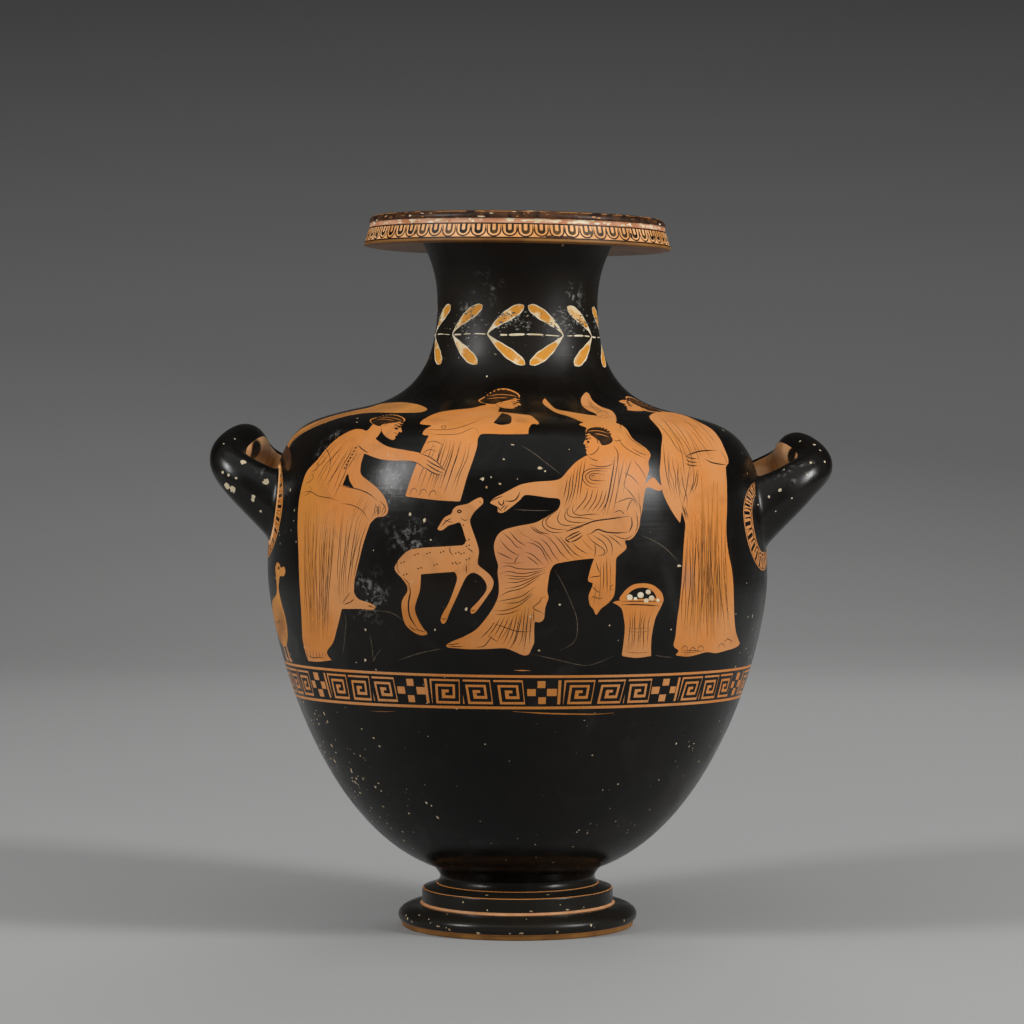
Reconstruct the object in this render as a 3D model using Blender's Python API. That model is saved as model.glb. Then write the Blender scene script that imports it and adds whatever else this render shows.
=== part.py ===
"""Hydria: a wheel-thrown clay water jar with two side handles and one at the back.

The jar is one closed solid. Its outer profile is a chain of curves stacked from the ground up,
its inside follows the same curves one wall thickness in, and the three handles are swept tubes
with flared roots, joined to the wall. Metres, +Z up, the foot stands on z = 0 and the side
that faces -Y is the front.
"""

import math

import bmesh
import bpy
from mathutils import Matrix, Vector

# Heights of the parts of the profile, each stacked on the one before
FOOT_HEIGHT = 0.0266
STEM_HEIGHT = 0.0106
BOWL_HEIGHT = 0.1828
SHOULDER_HEIGHT = 0.0993
NECK_LOWER_HEIGHT = 0.0667
NECK_UPPER_HEIGHT = 0.0390
LIP_HEIGHT = 0.0150

# Radii of the rings where those parts meet
FOOT_RADIUS = 0.0744
FOOT_STEP_RADIUS = 0.0595
STEM_RADIUS = 0.0482
STEM_FLARE = 0.0041
BELLY_RADIUS = 0.1553
SHOULDER_RADIUS = 0.1050
NECK_RADIUS = 0.0498
NECK_FLARE = 0.0095
LIP_RADIUS = 0.0956

# Foot: a rounded moulding, a groove, a stepped disc and a hollow underneath
FOOT_MOULDING_HEIGHT = 0.0137
FOOT_GROOVE_WIDTH = 0.0030
FOOT_STEP_DROP = 0.0032
FOOT_BASE_INSET = 0.0024
FOOT_RING_WIDTH = 0.0150
FLOOR_THICKNESS = 0.0135
FLOOR_DISH = 0.0085

# Lip: a hanging rounded edge, a band that leans in, and a round bead at the brim
LIP_DROP = 0.0044
LIP_EDGE_HEIGHT = 0.0026
LIP_BAND_HEIGHT = 0.0093
LIP_BAND_LEAN = 0.0036
BEAD_WIDTH = 0.0090
MOUTH_DISH = 0.0050

WALL = 0.0057

# Directions and pulls of the profile's curves
STEM_SLOPE = math.radians(19.6)
SHOULDER_SLOPE = math.radians(15.4)
MOUTH_SLOPE = math.radians(63.4)
STEM_PULL = 0.0768
BELLY_PULL_DOWN = 0.0371
BELLY_PULL_UP = 0.0909
SHOULDER_PULL_OUT = 0.0302
SHOULDER_PULL_IN = 0.0159
NECK_PULL_DOWN = 0.0612
NECK_PULL_UP = 0.0115
MOUTH_PULL = 0.0187

# Handles
HANDLE_THICKNESS = 0.0238
HANDLE_ROOT_HEIGHT = 0.0450
HANDLE_ROOT_WIDTH = 0.0350
HANDLE_SPREAD = 0.1000
HANDLE_DROP = 0.0600
RIGHT_HANDLE_REACH = 0.0250
LEFT_HANDLE_REACH = 0.0200
HANDLE_RISE = 0.0385
HANDLE_LIMB_LENGTH = 0.0320
HANDLE_LIMB_SLOPE = math.radians(38.0)
HANDLE_CORNER_SPREAD = 0.0700
HANDLE_CORNER_DROP = 0.0080
HANDLE_CORNER_OUT = 0.0020
HANDLE_TURN_BACK = math.radians(9.0)
BACK_ROOT_INSET = 0.0030
BACK_HANDLE_DROP = 0.0370
BACK_PULL_UP = 0.0600
BACK_PULL_OUT = 0.0640
FLARE_END = 0.60
FLARE_POWER = 2.2
ROOT_DEPTH_SHARE = 0.55

# The jar was fired leaning: above the foot its right side sits lower than its left
LEAN = math.radians(0.9)

SEGMENTS = 52
HANDLE_SIDES = 12
HANDLE_STEPS = 3

# Levels worked out from the heights
STEM_LEVEL = FOOT_HEIGHT
BOWL_LEVEL = STEM_LEVEL + STEM_HEIGHT
BELLY_LEVEL = BOWL_LEVEL + BOWL_HEIGHT
SHOULDER_LEVEL = BELLY_LEVEL + SHOULDER_HEIGHT
NECK_LEVEL = SHOULDER_LEVEL + NECK_LOWER_HEIGHT
MOUTH_LEVEL = NECK_LEVEL + NECK_UPPER_HEIGHT
BRIM_LEVEL = MOUTH_LEVEL + LIP_HEIGHT


def bezier(start, pull_start, pull_end, end, steps):
    """Points along one cubic curve, its start included and its end left out."""
    points = []
    for step in range(steps):
        t = step / steps
        s = 1.0 - t
        points.append(
            start * s**3 + pull_start * (3 * s * s * t) + pull_end * (3 * s * t * t) + end * t**3
        )
    return points


def arc(centre, size, first, last, steps):
    """Points along an elliptic arc, both ends included."""
    points = []
    for step in range(steps + 1):
        angle = first + (last - first) * step / steps
        points.append(centre + Vector((size.x * math.cos(angle), size.y * math.sin(angle))))
    return points


def direction(angle):
    return Vector((math.cos(angle), math.sin(angle)))


def body_curve(steps):
    """The wall's outer profile from the top of the stem to the underside of the lip."""
    stem = Vector((STEM_RADIUS + STEM_FLARE, BOWL_LEVEL))
    belly = Vector((BELLY_RADIUS, BELLY_LEVEL))
    shoulder = Vector((SHOULDER_RADIUS, SHOULDER_LEVEL))
    neck = Vector((NECK_RADIUS, NECK_LEVEL))
    mouth = Vector((NECK_RADIUS + NECK_FLARE, MOUTH_LEVEL))
    up = Vector((0.0, 1.0))
    inward = direction(math.pi - SHOULDER_SLOPE)
    stem_pull = stem + direction(STEM_SLOPE) * STEM_PULL
    points = bezier(stem, stem_pull, belly - up * BELLY_PULL_DOWN, belly, steps)
    shoulder_pull = shoulder - inward * SHOULDER_PULL_OUT
    points += bezier(belly, belly + up * BELLY_PULL_UP, shoulder_pull, shoulder, steps)
    shoulder_pull = shoulder + inward * SHOULDER_PULL_IN
    points += bezier(shoulder, shoulder_pull, neck - up * NECK_PULL_DOWN, neck, steps - 1)
    mouth_pull = mouth - direction(MOUTH_SLOPE) * MOUTH_PULL
    points += bezier(neck, neck + up * NECK_PULL_UP, mouth_pull, mouth, steps // 2)
    return points + [mouth]


def outward_normals(points):
    """The unit normal at each point of a profile that runs upwards, facing away from the axis."""
    normals = []
    for index in range(len(points)):
        before = points[max(index - 1, 0)]
        after = points[min(index + 1, len(points) - 1)]
        along = (after - before).normalized()
        normals.append(Vector((along.y, -along.x)))
    return normals


def inside_curve(steps):
    """The inner profile, one wall thickness inside the outer one, from bottom to top."""
    outer = body_curve(steps)
    return [point - normal * WALL for point, normal in zip(outer, outward_normals(outer))]


def foot_curve():
    """The foot's profile from the axis, under the hollow, round the moulding and up to the stem."""
    inside_bottom = inside_curve(8)[0].y
    hollow = inside_bottom - FLOOR_DISH - FLOOR_THICKNESS
    base = FOOT_RADIUS - FOOT_BASE_INSET
    ring = base - FOOT_RING_WIDTH
    half = FOOT_MOULDING_HEIGHT / 2
    groove = FOOT_STEP_RADIUS + FOOT_GROOVE_WIDTH
    points = [Vector((0.0, hollow)), Vector((ring - hollow, hollow))]
    points += [Vector((ring - hollow / 3, hollow / 2)), Vector((ring, 0.0)), Vector((base, 0.0))]
    points += arc(
        Vector((groove, half)),
        Vector((FOOT_RADIUS - groove, half)),
        math.radians(-35),
        math.radians(90),
        6,
    )
    points.append(Vector((FOOT_STEP_RADIUS, FOOT_MOULDING_HEIGHT)))
    points.append(Vector((FOOT_STEP_RADIUS, FOOT_HEIGHT - FOOT_STEP_DROP)))
    points.append(Vector((STEM_RADIUS + STEM_FLARE / 2, FOOT_HEIGHT)))
    points.append(Vector((STEM_RADIUS, STEM_LEVEL + STEM_HEIGHT / 3)))
    points.append(Vector((STEM_RADIUS + STEM_FLARE / 4, STEM_LEVEL + STEM_HEIGHT * 3 / 4)))
    return points


def lip_curve(throat):
    """The lip's profile from its underside, round the hanging edge and over to the throat."""
    edge = MOUTH_LEVEL - LIP_DROP
    band = edge + LIP_EDGE_HEIGHT
    fillet = band + LIP_BAND_HEIGHT
    bead_half = (BRIM_LEVEL - fillet) / 2
    bead_middle = LIP_RADIUS - LIP_BAND_LEAN - BEAD_WIDTH / 2
    points = [Vector((LIP_RADIUS - LIP_DROP, edge)), Vector((LIP_RADIUS, edge + LIP_EDGE_HEIGHT / 3))]
    points += [Vector((LIP_RADIUS - LIP_EDGE_HEIGHT / 4, band)), Vector((LIP_RADIUS - LIP_BAND_LEAN, fillet))]
    points += arc(
        Vector((bead_middle, fillet + bead_half)),
        Vector((BEAD_WIDTH / 2, bead_half)),
        math.radians(-30),
        math.radians(180),
        6,
    )
    dish = BRIM_LEVEL - MOUTH_DISH
    inner_edge = bead_middle - BEAD_WIDTH / 2
    points += bezier(
        Vector((inner_edge - LIP_EDGE_HEIGHT / 2, dish)),
        Vector((throat.x + WALL, dish - WALL / 2)),
        throat + direction(MOUTH_SLOPE) * WALL,
        throat,
        4,
    )
    return points


def floor_curve(rim):
    """The floor inside the jar, from the axis to where the wall begins."""
    centre = Vector((0.0, rim.y - FLOOR_DISH))
    rim_pull = rim - direction(STEM_SLOPE) * (rim.x / 3)
    return bezier(centre, centre + Vector((rim.x / 3, 0.0)), rim_pull, rim, 3)


def jar_profile():
    """The whole closed profile: foot, outer wall, lip, inner wall and floor."""
    inner = inside_curve(6)
    throat = inner[-1]
    down = list(reversed(inner[:-1]))
    floor = list(reversed(floor_curve(inner[0])))
    return foot_curve() + body_curve(8) + lip_curve(throat) + [throat] + down + floor


def leaned(point):
    """The point moved down on the right and up on the left, more the higher it is, up to the belly."""
    share = min(max((point.z - FOOT_HEIGHT) / (BELLY_LEVEL - FOOT_HEIGHT), 0.0), 1.0)
    ease = share * share * (3.0 - 2.0 * share)
    return Vector((point.x, point.y, point.z - point.x * math.tan(LEAN) * ease))


def mesh_object(name, rings, material):
    """A mesh skinned over rings of points in order. A ring of one point closes an end."""
    shape = bmesh.new()
    rows = [[shape.verts.new(leaned(point)) for point in ring] for ring in rings]
    for low, high in zip(rows, rows[1:]):
        count = max(len(low), len(high))
        for index in range(count):
            after = (index + 1) % count
            corners = [low[index % len(low)], low[after % len(low)]]
            corners += [high[after % len(high)], high[index % len(high)]]
            shape.faces.new(list(dict.fromkeys(corners)))
    for cap in (rows[0], rows[-1]):
        if len(cap) > 1:
            shape.faces.new(cap)
    bmesh.ops.recalc_face_normals(shape, faces=shape.faces)
    mesh = bpy.data.meshes.new(name)
    shape.to_mesh(mesh)
    shape.free()
    mesh.materials.append(material)
    mesh.shade_smooth()
    mesh.set_sharp_from_angle(angle=math.radians(40))
    made = bpy.data.objects.new(name, mesh)
    bpy.context.scene.collection.objects.link(made)
    return made


def turned_rings(profile):
    """One ring of points round the axis for each profile point."""
    rings = []
    for point in profile:
        if point.x < WALL / 1000:
            rings.append([Vector((0.0, 0.0, point.y))])
            continue
        angles = [math.tau * index / SEGMENTS for index in range(SEGMENTS)]
        rings.append([Vector((point.x * math.cos(a), point.x * math.sin(a), point.y)) for a in angles])
    return rings


def wall_at(value, axis):
    """The outer wall's point and normal where its radius or height, axis 0 or 1, reaches a value.

    The search runs down from the top of the neck, so a radius is found on the shoulder.
    """
    points = body_curve(24)
    normals = outward_normals(points)
    for index in range(len(points) - 2, 0, -1):
        low = points[index][axis]
        high = points[index + 1][axis]
        if min(low, high) <= value <= max(low, high):
            share = (value - low) / (high - low)
            place = points[index].lerp(points[index + 1], share)
            return place, normals[index].lerp(normals[index + 1], share).normalized()
    raise ValueError(f"the wall doesn't reach {value}")


def flare(t):
    """How much of the root's extra size is left at a share t of the way to the far end."""
    left = max(1.0 - t / FLARE_END, 0.0)
    return left**FLARE_POWER


def section(centre, along, across, t):
    """One ring of a handle: an ellipse that is tall and wide at the root and round beyond it."""
    tall = along.cross(across).normalized()
    grown = flare(t)
    half_tall = (HANDLE_THICKNESS + (HANDLE_ROOT_HEIGHT - HANDLE_THICKNESS) * grown) / 2
    half_wide = (HANDLE_THICKNESS + (HANDLE_ROOT_WIDTH - HANDLE_THICKNESS) * grown) / 2
    ring = []
    for index in range(HANDLE_SIDES):
        angle = math.tau * index / HANDLE_SIDES
        ring.append(centre + across * (half_wide * math.cos(angle)) + tall * (half_tall * math.sin(angle)))
    return ring


def swept_rings(centres, shares, across, leaving, arriving):
    """Rings along a path, each turned as little as possible from the one before.

    The first and last rings lie flat on their walls, square to the directions leaving and
    arriving, and the rings come square to the path where each flare ends.
    """
    rings = []
    for index, centre in enumerate(centres):
        facing = leaving if index < len(centres) / 2 else arriving
        before = centres[max(index - 1, 0)]
        after = centres[min(index + 1, len(centres) - 1)]
        along = facing.lerp((after - before).normalized(), min(shares[index] / FLARE_END, 1.0))
        along.normalize()
        across = (across - along * across.dot(along)).normalized()
        rings.append(section(centre, along, across, shares[index]))
    return rings


def smooth_path(points, first_direction, steps):
    """Points on a smooth curve through the given ones, both ends included."""
    path = []
    for index in range(len(points) - 1):
        start, end = points[index], points[index + 1]
        length = (end - start).length
        leave = (end - points[index - 1]) / 2 if index else first_direction * length
        arrive = (points[min(index + 2, len(points) - 1)] - start) / 2
        path += bezier(start, start + leave / 3, end - arrive / 3, end, steps)
    return path + [points[-1]]


def side_handle_rings(reach):
    """A loop with both roots level on the wall, built about the +X axis and rising outwards."""
    root_level = SHOULDER_LEVEL - HANDLE_DROP
    wall, normal = wall_at(root_level, 1)
    swing = math.asin(HANDLE_SPREAD / 2 / wall.x)
    around = Matrix.Rotation(-swing, 4, "Z")
    facing = around @ Vector((normal.x, 0.0, normal.y))
    root = around @ Vector((wall.x, 0.0, wall.y)) - facing * (WALL * ROOT_DEPTH_SHARE)
    limb = Vector((math.cos(HANDLE_LIMB_SLOPE), 0.0, math.sin(HANDLE_LIMB_SLOPE)))
    middle = Vector((wall.x + reach, 0.0, root_level + HANDLE_RISE))
    corner = middle + Vector((HANDLE_CORNER_OUT, -HANDLE_CORNER_SPREAD / 2, -HANDLE_CORNER_DROP))
    far_corner = Vector((corner.x, -corner.y, corner.z))
    stops = [root, root + limb * HANDLE_LIMB_LENGTH, corner, middle, far_corner]
    path = smooth_path(stops, limb, HANDLE_STEPS)
    count = 3 * HANDLE_STEPS + 1
    shares = [min(index / (count - 1), 1.0) for index in range(count + 1)]
    across = facing.cross(Vector((0.0, 0.0, 1.0)))
    first = swept_rings(path[: count + 1], shares, across, facing, facing)[:count]
    second = [[Vector((p.x, -p.y, p.z)) for p in ring] for ring in reversed(first[:-1])]
    return first + second


def back_handle_rings():
    """An upright loop behind the neck, from the shoulder to the neck under the lip."""
    foot, foot_normal = wall_at(SHOULDER_RADIUS + BACK_ROOT_INSET, 0)
    top, top_normal = wall_at(MOUTH_LEVEL - BACK_HANDLE_DROP, 1)
    depth = WALL * ROOT_DEPTH_SHARE
    low = foot - foot_normal * depth
    high = top - top_normal * depth
    low_pull = foot + foot_normal * BACK_PULL_UP
    high_pull = top + top_normal * BACK_PULL_OUT
    steps = HANDLE_STEPS * 5
    flat = bezier(low, low_pull, high_pull, high, steps) + [high]
    centres = [Vector((0.0, point.x, point.y)) for point in flat]
    shares = [2 * min(index, steps - index) / steps for index in range(steps + 1)]
    leaving = Vector((0.0, foot_normal.x, foot_normal.y))
    arriving = Vector((0.0, -top_normal.x, -top_normal.y))
    return swept_rings(centres, shares, Vector((1.0, 0.0, 0.0)), leaving, arriving)


def turned_about_axis(rings, angle):
    turn = Matrix.Rotation(angle, 4, "Z")
    return [[turn @ point for point in ring] for ring in rings]


def clay_material():
    """Near-black glossy slip over orange clay."""
    material = bpy.data.materials.new("black_slip")
    material.use_nodes = True
    shader = material.node_tree.nodes["Principled BSDF"]
    shader.inputs["Base Color"].default_value = (0.012, 0.011, 0.009, 1.0)
    shader.inputs["Roughness"].default_value = 0.28
    shader.inputs["Metallic"].default_value = 0.0
    return material


def join(target, piece):
    """Adds a piece to the target as a Boolean union and keeps it as a hidden guide."""
    piece.hide_render = True
    piece.display_type = "WIRE"
    union = target.modifiers.new(piece.name, "BOOLEAN")
    union.operation = "UNION"
    union.solver = "EXACT"
    union.object = piece


def build():
    for old in list(bpy.data.objects):
        bpy.data.objects.remove(old, do_unlink=True)
    slip = clay_material()
    jar = mesh_object("hydria", turned_rings(jar_profile()), slip)
    right = turned_about_axis(side_handle_rings(RIGHT_HANDLE_REACH), HANDLE_TURN_BACK)
    left = turned_about_axis(side_handle_rings(LEFT_HANDLE_REACH), math.pi - HANDLE_TURN_BACK)
    for name, rings in (("right_handle", right), ("left_handle", left), ("back_handle", back_handle_rings())):
        join(jar, mesh_object(name, rings, slip))


build()
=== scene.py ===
"""Looks of the hydria: its smooth skin, painted decoration, worn gloss, and a plain studio.

Metres, +Z up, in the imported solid's own frame. The skin follows the solid's profile and handles
with finer steps. Paint is flat: each patch of colour is a set of faces with its own material.
"""

import math

import bpy
import numpy as np
from mathutils import Matrix, Vector, geometry
from mathutils.bvhtree import BVHTree


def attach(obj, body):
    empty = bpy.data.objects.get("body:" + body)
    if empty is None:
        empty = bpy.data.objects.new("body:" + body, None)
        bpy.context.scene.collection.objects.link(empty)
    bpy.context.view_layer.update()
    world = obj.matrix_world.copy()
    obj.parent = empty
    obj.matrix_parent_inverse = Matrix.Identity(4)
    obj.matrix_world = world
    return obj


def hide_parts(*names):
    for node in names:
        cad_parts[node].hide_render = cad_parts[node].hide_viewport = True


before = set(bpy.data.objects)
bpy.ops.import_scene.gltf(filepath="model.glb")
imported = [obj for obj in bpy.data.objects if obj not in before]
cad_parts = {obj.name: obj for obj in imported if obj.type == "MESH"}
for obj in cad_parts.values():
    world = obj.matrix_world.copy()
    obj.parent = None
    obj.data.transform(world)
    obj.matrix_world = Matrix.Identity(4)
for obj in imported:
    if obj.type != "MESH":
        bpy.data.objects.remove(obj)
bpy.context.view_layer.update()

# Sizes of the solid, repeated from the part's source
FOOT_HEIGHT = 0.0266
STEM_HEIGHT = 0.0106
BOWL_HEIGHT = 0.1828
SHOULDER_HEIGHT = 0.0993
NECK_LOWER_HEIGHT = 0.0667
NECK_UPPER_HEIGHT = 0.0390
LIP_HEIGHT = 0.0150
FOOT_RADIUS = 0.0744
FOOT_STEP_RADIUS = 0.0595
STEM_RADIUS = 0.0482
STEM_FLARE = 0.0041
BELLY_RADIUS = 0.1553
SHOULDER_RADIUS = 0.1050
NECK_RADIUS = 0.0498
NECK_FLARE = 0.0095
LIP_RADIUS = 0.0956
FOOT_MOULDING_HEIGHT = 0.0137
FOOT_GROOVE_WIDTH = 0.0030
FOOT_STEP_DROP = 0.0032
FOOT_BASE_INSET = 0.0024
FOOT_RING_WIDTH = 0.0150
FLOOR_THICKNESS = 0.0135
FLOOR_DISH = 0.0085
LIP_DROP = 0.0044
LIP_EDGE_HEIGHT = 0.0026
LIP_BAND_HEIGHT = 0.0093
LIP_BAND_LEAN = 0.0036
BEAD_WIDTH = 0.0090
MOUTH_DISH = 0.0050
WALL = 0.0057
STEM_SLOPE = math.radians(19.6)
SHOULDER_SLOPE = math.radians(15.4)
MOUTH_SLOPE = math.radians(63.4)
STEM_PULL = 0.0768
BELLY_PULL_DOWN = 0.0371
BELLY_PULL_UP = 0.0909
SHOULDER_PULL_OUT = 0.0302
SHOULDER_PULL_IN = 0.0159
NECK_PULL_DOWN = 0.0612
NECK_PULL_UP = 0.0115
MOUTH_PULL = 0.0187
HANDLE_THICKNESS = 0.0238
HANDLE_ROOT_HEIGHT = 0.0450
HANDLE_ROOT_WIDTH = 0.0350
HANDLE_SPREAD = 0.1000
HANDLE_DROP = 0.0600
RIGHT_HANDLE_REACH = 0.0250
LEFT_HANDLE_REACH = 0.0200
HANDLE_RISE = 0.0385
HANDLE_LIMB_LENGTH = 0.0320
HANDLE_LIMB_SLOPE = math.radians(38.0)
HANDLE_CORNER_SPREAD = 0.0700
HANDLE_CORNER_DROP = 0.0080
HANDLE_CORNER_OUT = 0.0020
HANDLE_TURN_BACK = math.radians(9.0)
BACK_ROOT_INSET = 0.0030
BACK_HANDLE_DROP = 0.0370
BACK_PULL_UP = 0.0600
BACK_PULL_OUT = 0.0640
FLARE_END = 0.60
FLARE_POWER = 2.2
ROOT_DEPTH_SHARE = 0.55
LEAN = math.radians(0.9)
STEM_LEVEL = FOOT_HEIGHT
BOWL_LEVEL = STEM_LEVEL + STEM_HEIGHT
BELLY_LEVEL = BOWL_LEVEL + BOWL_HEIGHT
SHOULDER_LEVEL = BELLY_LEVEL + SHOULDER_HEIGHT
NECK_LEVEL = SHOULDER_LEVEL + NECK_LOWER_HEIGHT
MOUTH_LEVEL = NECK_LEVEL + NECK_UPPER_HEIGHT
BRIM_LEVEL = MOUTH_LEVEL + LIP_HEIGHT

# Fineness of the skin
COLUMNS = 192
CURVE_STEPS = 36
UNROLLED_RADIUS = 0.15
HANDLE_SIDES = 48
HANDLE_STEPS = 12
HANDLE_FILLET = 0.0035
FILLET_STEPS = 8
HANDLE_ROWS = 72
CORNER_ROUNDING = 0.0009
CORNER_STEPS = 5

# The photograph's camera, and where its image plane is 1024 pixels wide
CAMERA_DISTANCE = 2.18
CAMERA_HEIGHT = 0.321
CAMERA_OFFSET = -0.0034
CAMERA_PITCH = math.radians(1.67)
FOCAL_PIXELS = 3500.0
IMAGE_PIXELS = 1024.0
SENSOR_WIDTH = 36.0


def bezier(start, pull_start, pull_end, end, steps):
    """Points along one cubic curve, its start included and its end left out."""
    points = []
    for step in range(steps):
        t = step / steps
        s = 1.0 - t
        points.append(
            start * s**3 + pull_start * (3 * s * s * t) + pull_end * (3 * s * t * t) + end * t**3
        )
    return points


def arc(centre, size, first, last, steps):
    """Points along an elliptic arc, both ends included."""
    points = []
    for step in range(steps + 1):
        angle = first + (last - first) * step / steps
        points.append(centre + Vector((size.x * math.cos(angle), size.y * math.sin(angle))))
    return points


def direction(angle):
    """The unit vector of a profile at an angle to the ground."""
    return Vector((math.cos(angle), math.sin(angle)))


def body_curve(steps):
    """The wall's outer profile from the top of the stem to the underside of the lip."""
    stem = Vector((STEM_RADIUS + STEM_FLARE, BOWL_LEVEL))
    belly = Vector((BELLY_RADIUS, BELLY_LEVEL))
    shoulder = Vector((SHOULDER_RADIUS, SHOULDER_LEVEL))
    neck = Vector((NECK_RADIUS, NECK_LEVEL))
    mouth = Vector((NECK_RADIUS + NECK_FLARE, MOUTH_LEVEL))
    up = Vector((0.0, 1.0))
    inward = direction(math.pi - SHOULDER_SLOPE)
    stem_pull = stem + direction(STEM_SLOPE) * STEM_PULL
    points = bezier(stem, stem_pull, belly - up * BELLY_PULL_DOWN, belly, steps)
    shoulder_pull = shoulder - inward * SHOULDER_PULL_OUT
    points += bezier(belly, belly + up * BELLY_PULL_UP, shoulder_pull, shoulder, steps)
    shoulder_pull = shoulder + inward * SHOULDER_PULL_IN
    points += bezier(shoulder, shoulder_pull, neck - up * NECK_PULL_DOWN, neck, steps - 1)
    mouth_pull = mouth - direction(MOUTH_SLOPE) * MOUTH_PULL
    points += bezier(neck, neck + up * NECK_PULL_UP, mouth_pull, mouth, steps // 2)
    return points + [mouth]


def outward_normals(points):
    """The unit normal at each point of a profile that runs upwards, facing away from the axis."""
    normals = []
    for index in range(len(points)):
        before = points[max(index - 1, 0)]
        after = points[min(index + 1, len(points) - 1)]
        along = (after - before).normalized()
        normals.append(Vector((along.y, -along.x)))
    return normals


def inside_curve(steps):
    """The inner profile, one wall thickness inside the outer one, from bottom to top."""
    outer = body_curve(steps)
    return [point - normal * WALL for point, normal in zip(outer, outward_normals(outer))]


def rounded(points, radius):
    """The profile with each corner between two straight runs replaced by a small curve."""
    made = [points[0]]
    for before, corner, after in zip(points, points[1:], points[2:]):
        back = before - corner
        ahead = after - corner
        if back.angle(ahead) > math.radians(160):
            made.append(corner)
            continue
        start = corner + back.normalized() * min(radius, back.length * 0.45)
        end = corner + ahead.normalized() * min(radius, ahead.length * 0.45)
        made += bezier(start, start.lerp(corner, 0.6), end.lerp(corner, 0.6), end, CORNER_STEPS)
        made.append(end)
    return made + [points[-1]]


def foot_curve():
    """The foot's profile from the axis, under the hollow, round the moulding and up to the stem."""
    inside_bottom = inside_curve(8)[0].y
    hollow = inside_bottom - FLOOR_DISH - FLOOR_THICKNESS
    base = FOOT_RADIUS - FOOT_BASE_INSET
    ring = base - FOOT_RING_WIDTH
    half = FOOT_MOULDING_HEIGHT / 2
    groove = FOOT_STEP_RADIUS + FOOT_GROOVE_WIDTH
    points = [Vector((0.0, hollow)), Vector((ring - hollow, hollow))]
    points += [Vector((ring - hollow / 3, hollow / 2)), Vector((ring, 0.0)), Vector((base, 0.0))]
    points += arc(
        Vector((groove, half)),
        Vector((FOOT_RADIUS - groove, half)),
        math.radians(-35),
        math.radians(90),
        20,
    )
    points.append(Vector((FOOT_STEP_RADIUS, FOOT_MOULDING_HEIGHT)))
    points.append(Vector((FOOT_STEP_RADIUS, FOOT_HEIGHT - FOOT_STEP_DROP)))
    points.append(Vector((STEM_RADIUS + STEM_FLARE / 2, FOOT_HEIGHT)))
    low = Vector((STEM_RADIUS + STEM_FLARE / 2, FOOT_HEIGHT))
    waist = Vector((STEM_RADIUS - STEM_FLARE / 4, STEM_LEVEL + STEM_HEIGHT * 0.4))
    top = Vector((STEM_RADIUS + STEM_FLARE, BOWL_LEVEL))
    points += bezier(low, waist, waist, top, 8)[1:]
    return rounded(points + [top], CORNER_ROUNDING)


def lip_curve():
    """The lip's profile from its underside, round the hanging edge and over to the throat."""
    throat = inside_curve(CURVE_STEPS)[-1]
    edge = MOUTH_LEVEL - LIP_DROP
    band = edge + LIP_EDGE_HEIGHT
    fillet = band + LIP_BAND_HEIGHT
    bead_half = (BRIM_LEVEL - fillet) / 2
    bead_middle = LIP_RADIUS - LIP_BAND_LEAN - BEAD_WIDTH / 2
    points = [Vector((NECK_RADIUS + NECK_FLARE, MOUTH_LEVEL))]
    points.append(Vector((LIP_RADIUS - LIP_DROP, edge)))
    points.append(Vector((LIP_RADIUS, edge + LIP_EDGE_HEIGHT / 3)))
    points.append(Vector((LIP_RADIUS - LIP_EDGE_HEIGHT / 4, band)))
    points.append(Vector((LIP_RADIUS - LIP_BAND_LEAN, fillet)))
    points += arc(
        Vector((bead_middle, fillet + bead_half)),
        Vector((BEAD_WIDTH / 2, bead_half)),
        math.radians(-30),
        math.radians(180),
        24,
    )
    dish = BRIM_LEVEL - MOUTH_DISH
    inner_edge = bead_middle - BEAD_WIDTH / 2
    points += bezier(
        Vector((inner_edge - LIP_EDGE_HEIGHT / 2, dish)),
        Vector((throat.x + WALL, dish - WALL / 2)),
        throat + direction(MOUTH_SLOPE) * WALL,
        throat,
        16,
    )
    return rounded(points + [throat], CORNER_ROUNDING)


def inner_curve():
    """The inside from the throat down the wall and across the dished floor to the axis."""
    inner = inside_curve(CURVE_STEPS)
    rim = inner[0]
    centre = Vector((0.0, rim.y - FLOOR_DISH))
    rim_pull = rim - direction(STEM_SLOPE) * (rim.x / 3)
    floor = bezier(centre, centre + Vector((rim.x / 3, 0.0)), rim_pull, rim, 12)
    return list(reversed(floor + inner))


def lean_ease(levels):
    """How much of the lean a height takes: none at the foot, all from the belly up."""
    share = np.clip((levels - FOOT_HEIGHT) / (BELLY_LEVEL - FOOT_HEIGHT), 0.0, 1.0)
    return share * share * (3.0 - 2.0 * share)


def leaned(places):
    """Points moved down on the right and up on the left, more the higher they are."""
    moved = np.array(places, dtype=float)
    moved[:, 2] -= moved[:, 0] * math.tan(LEAN) * lean_ease(moved[:, 2])
    return moved


def link(name, mesh, materials):
    """A piece of the jar: it rides on the body and stands for the solid."""
    for material in materials:
        mesh.materials.append(material)
    piece = bpy.data.objects.new(name, mesh)
    bpy.context.scene.collection.objects.link(piece)
    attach(piece, "root")
    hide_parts("hydria")
    return piece


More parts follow.
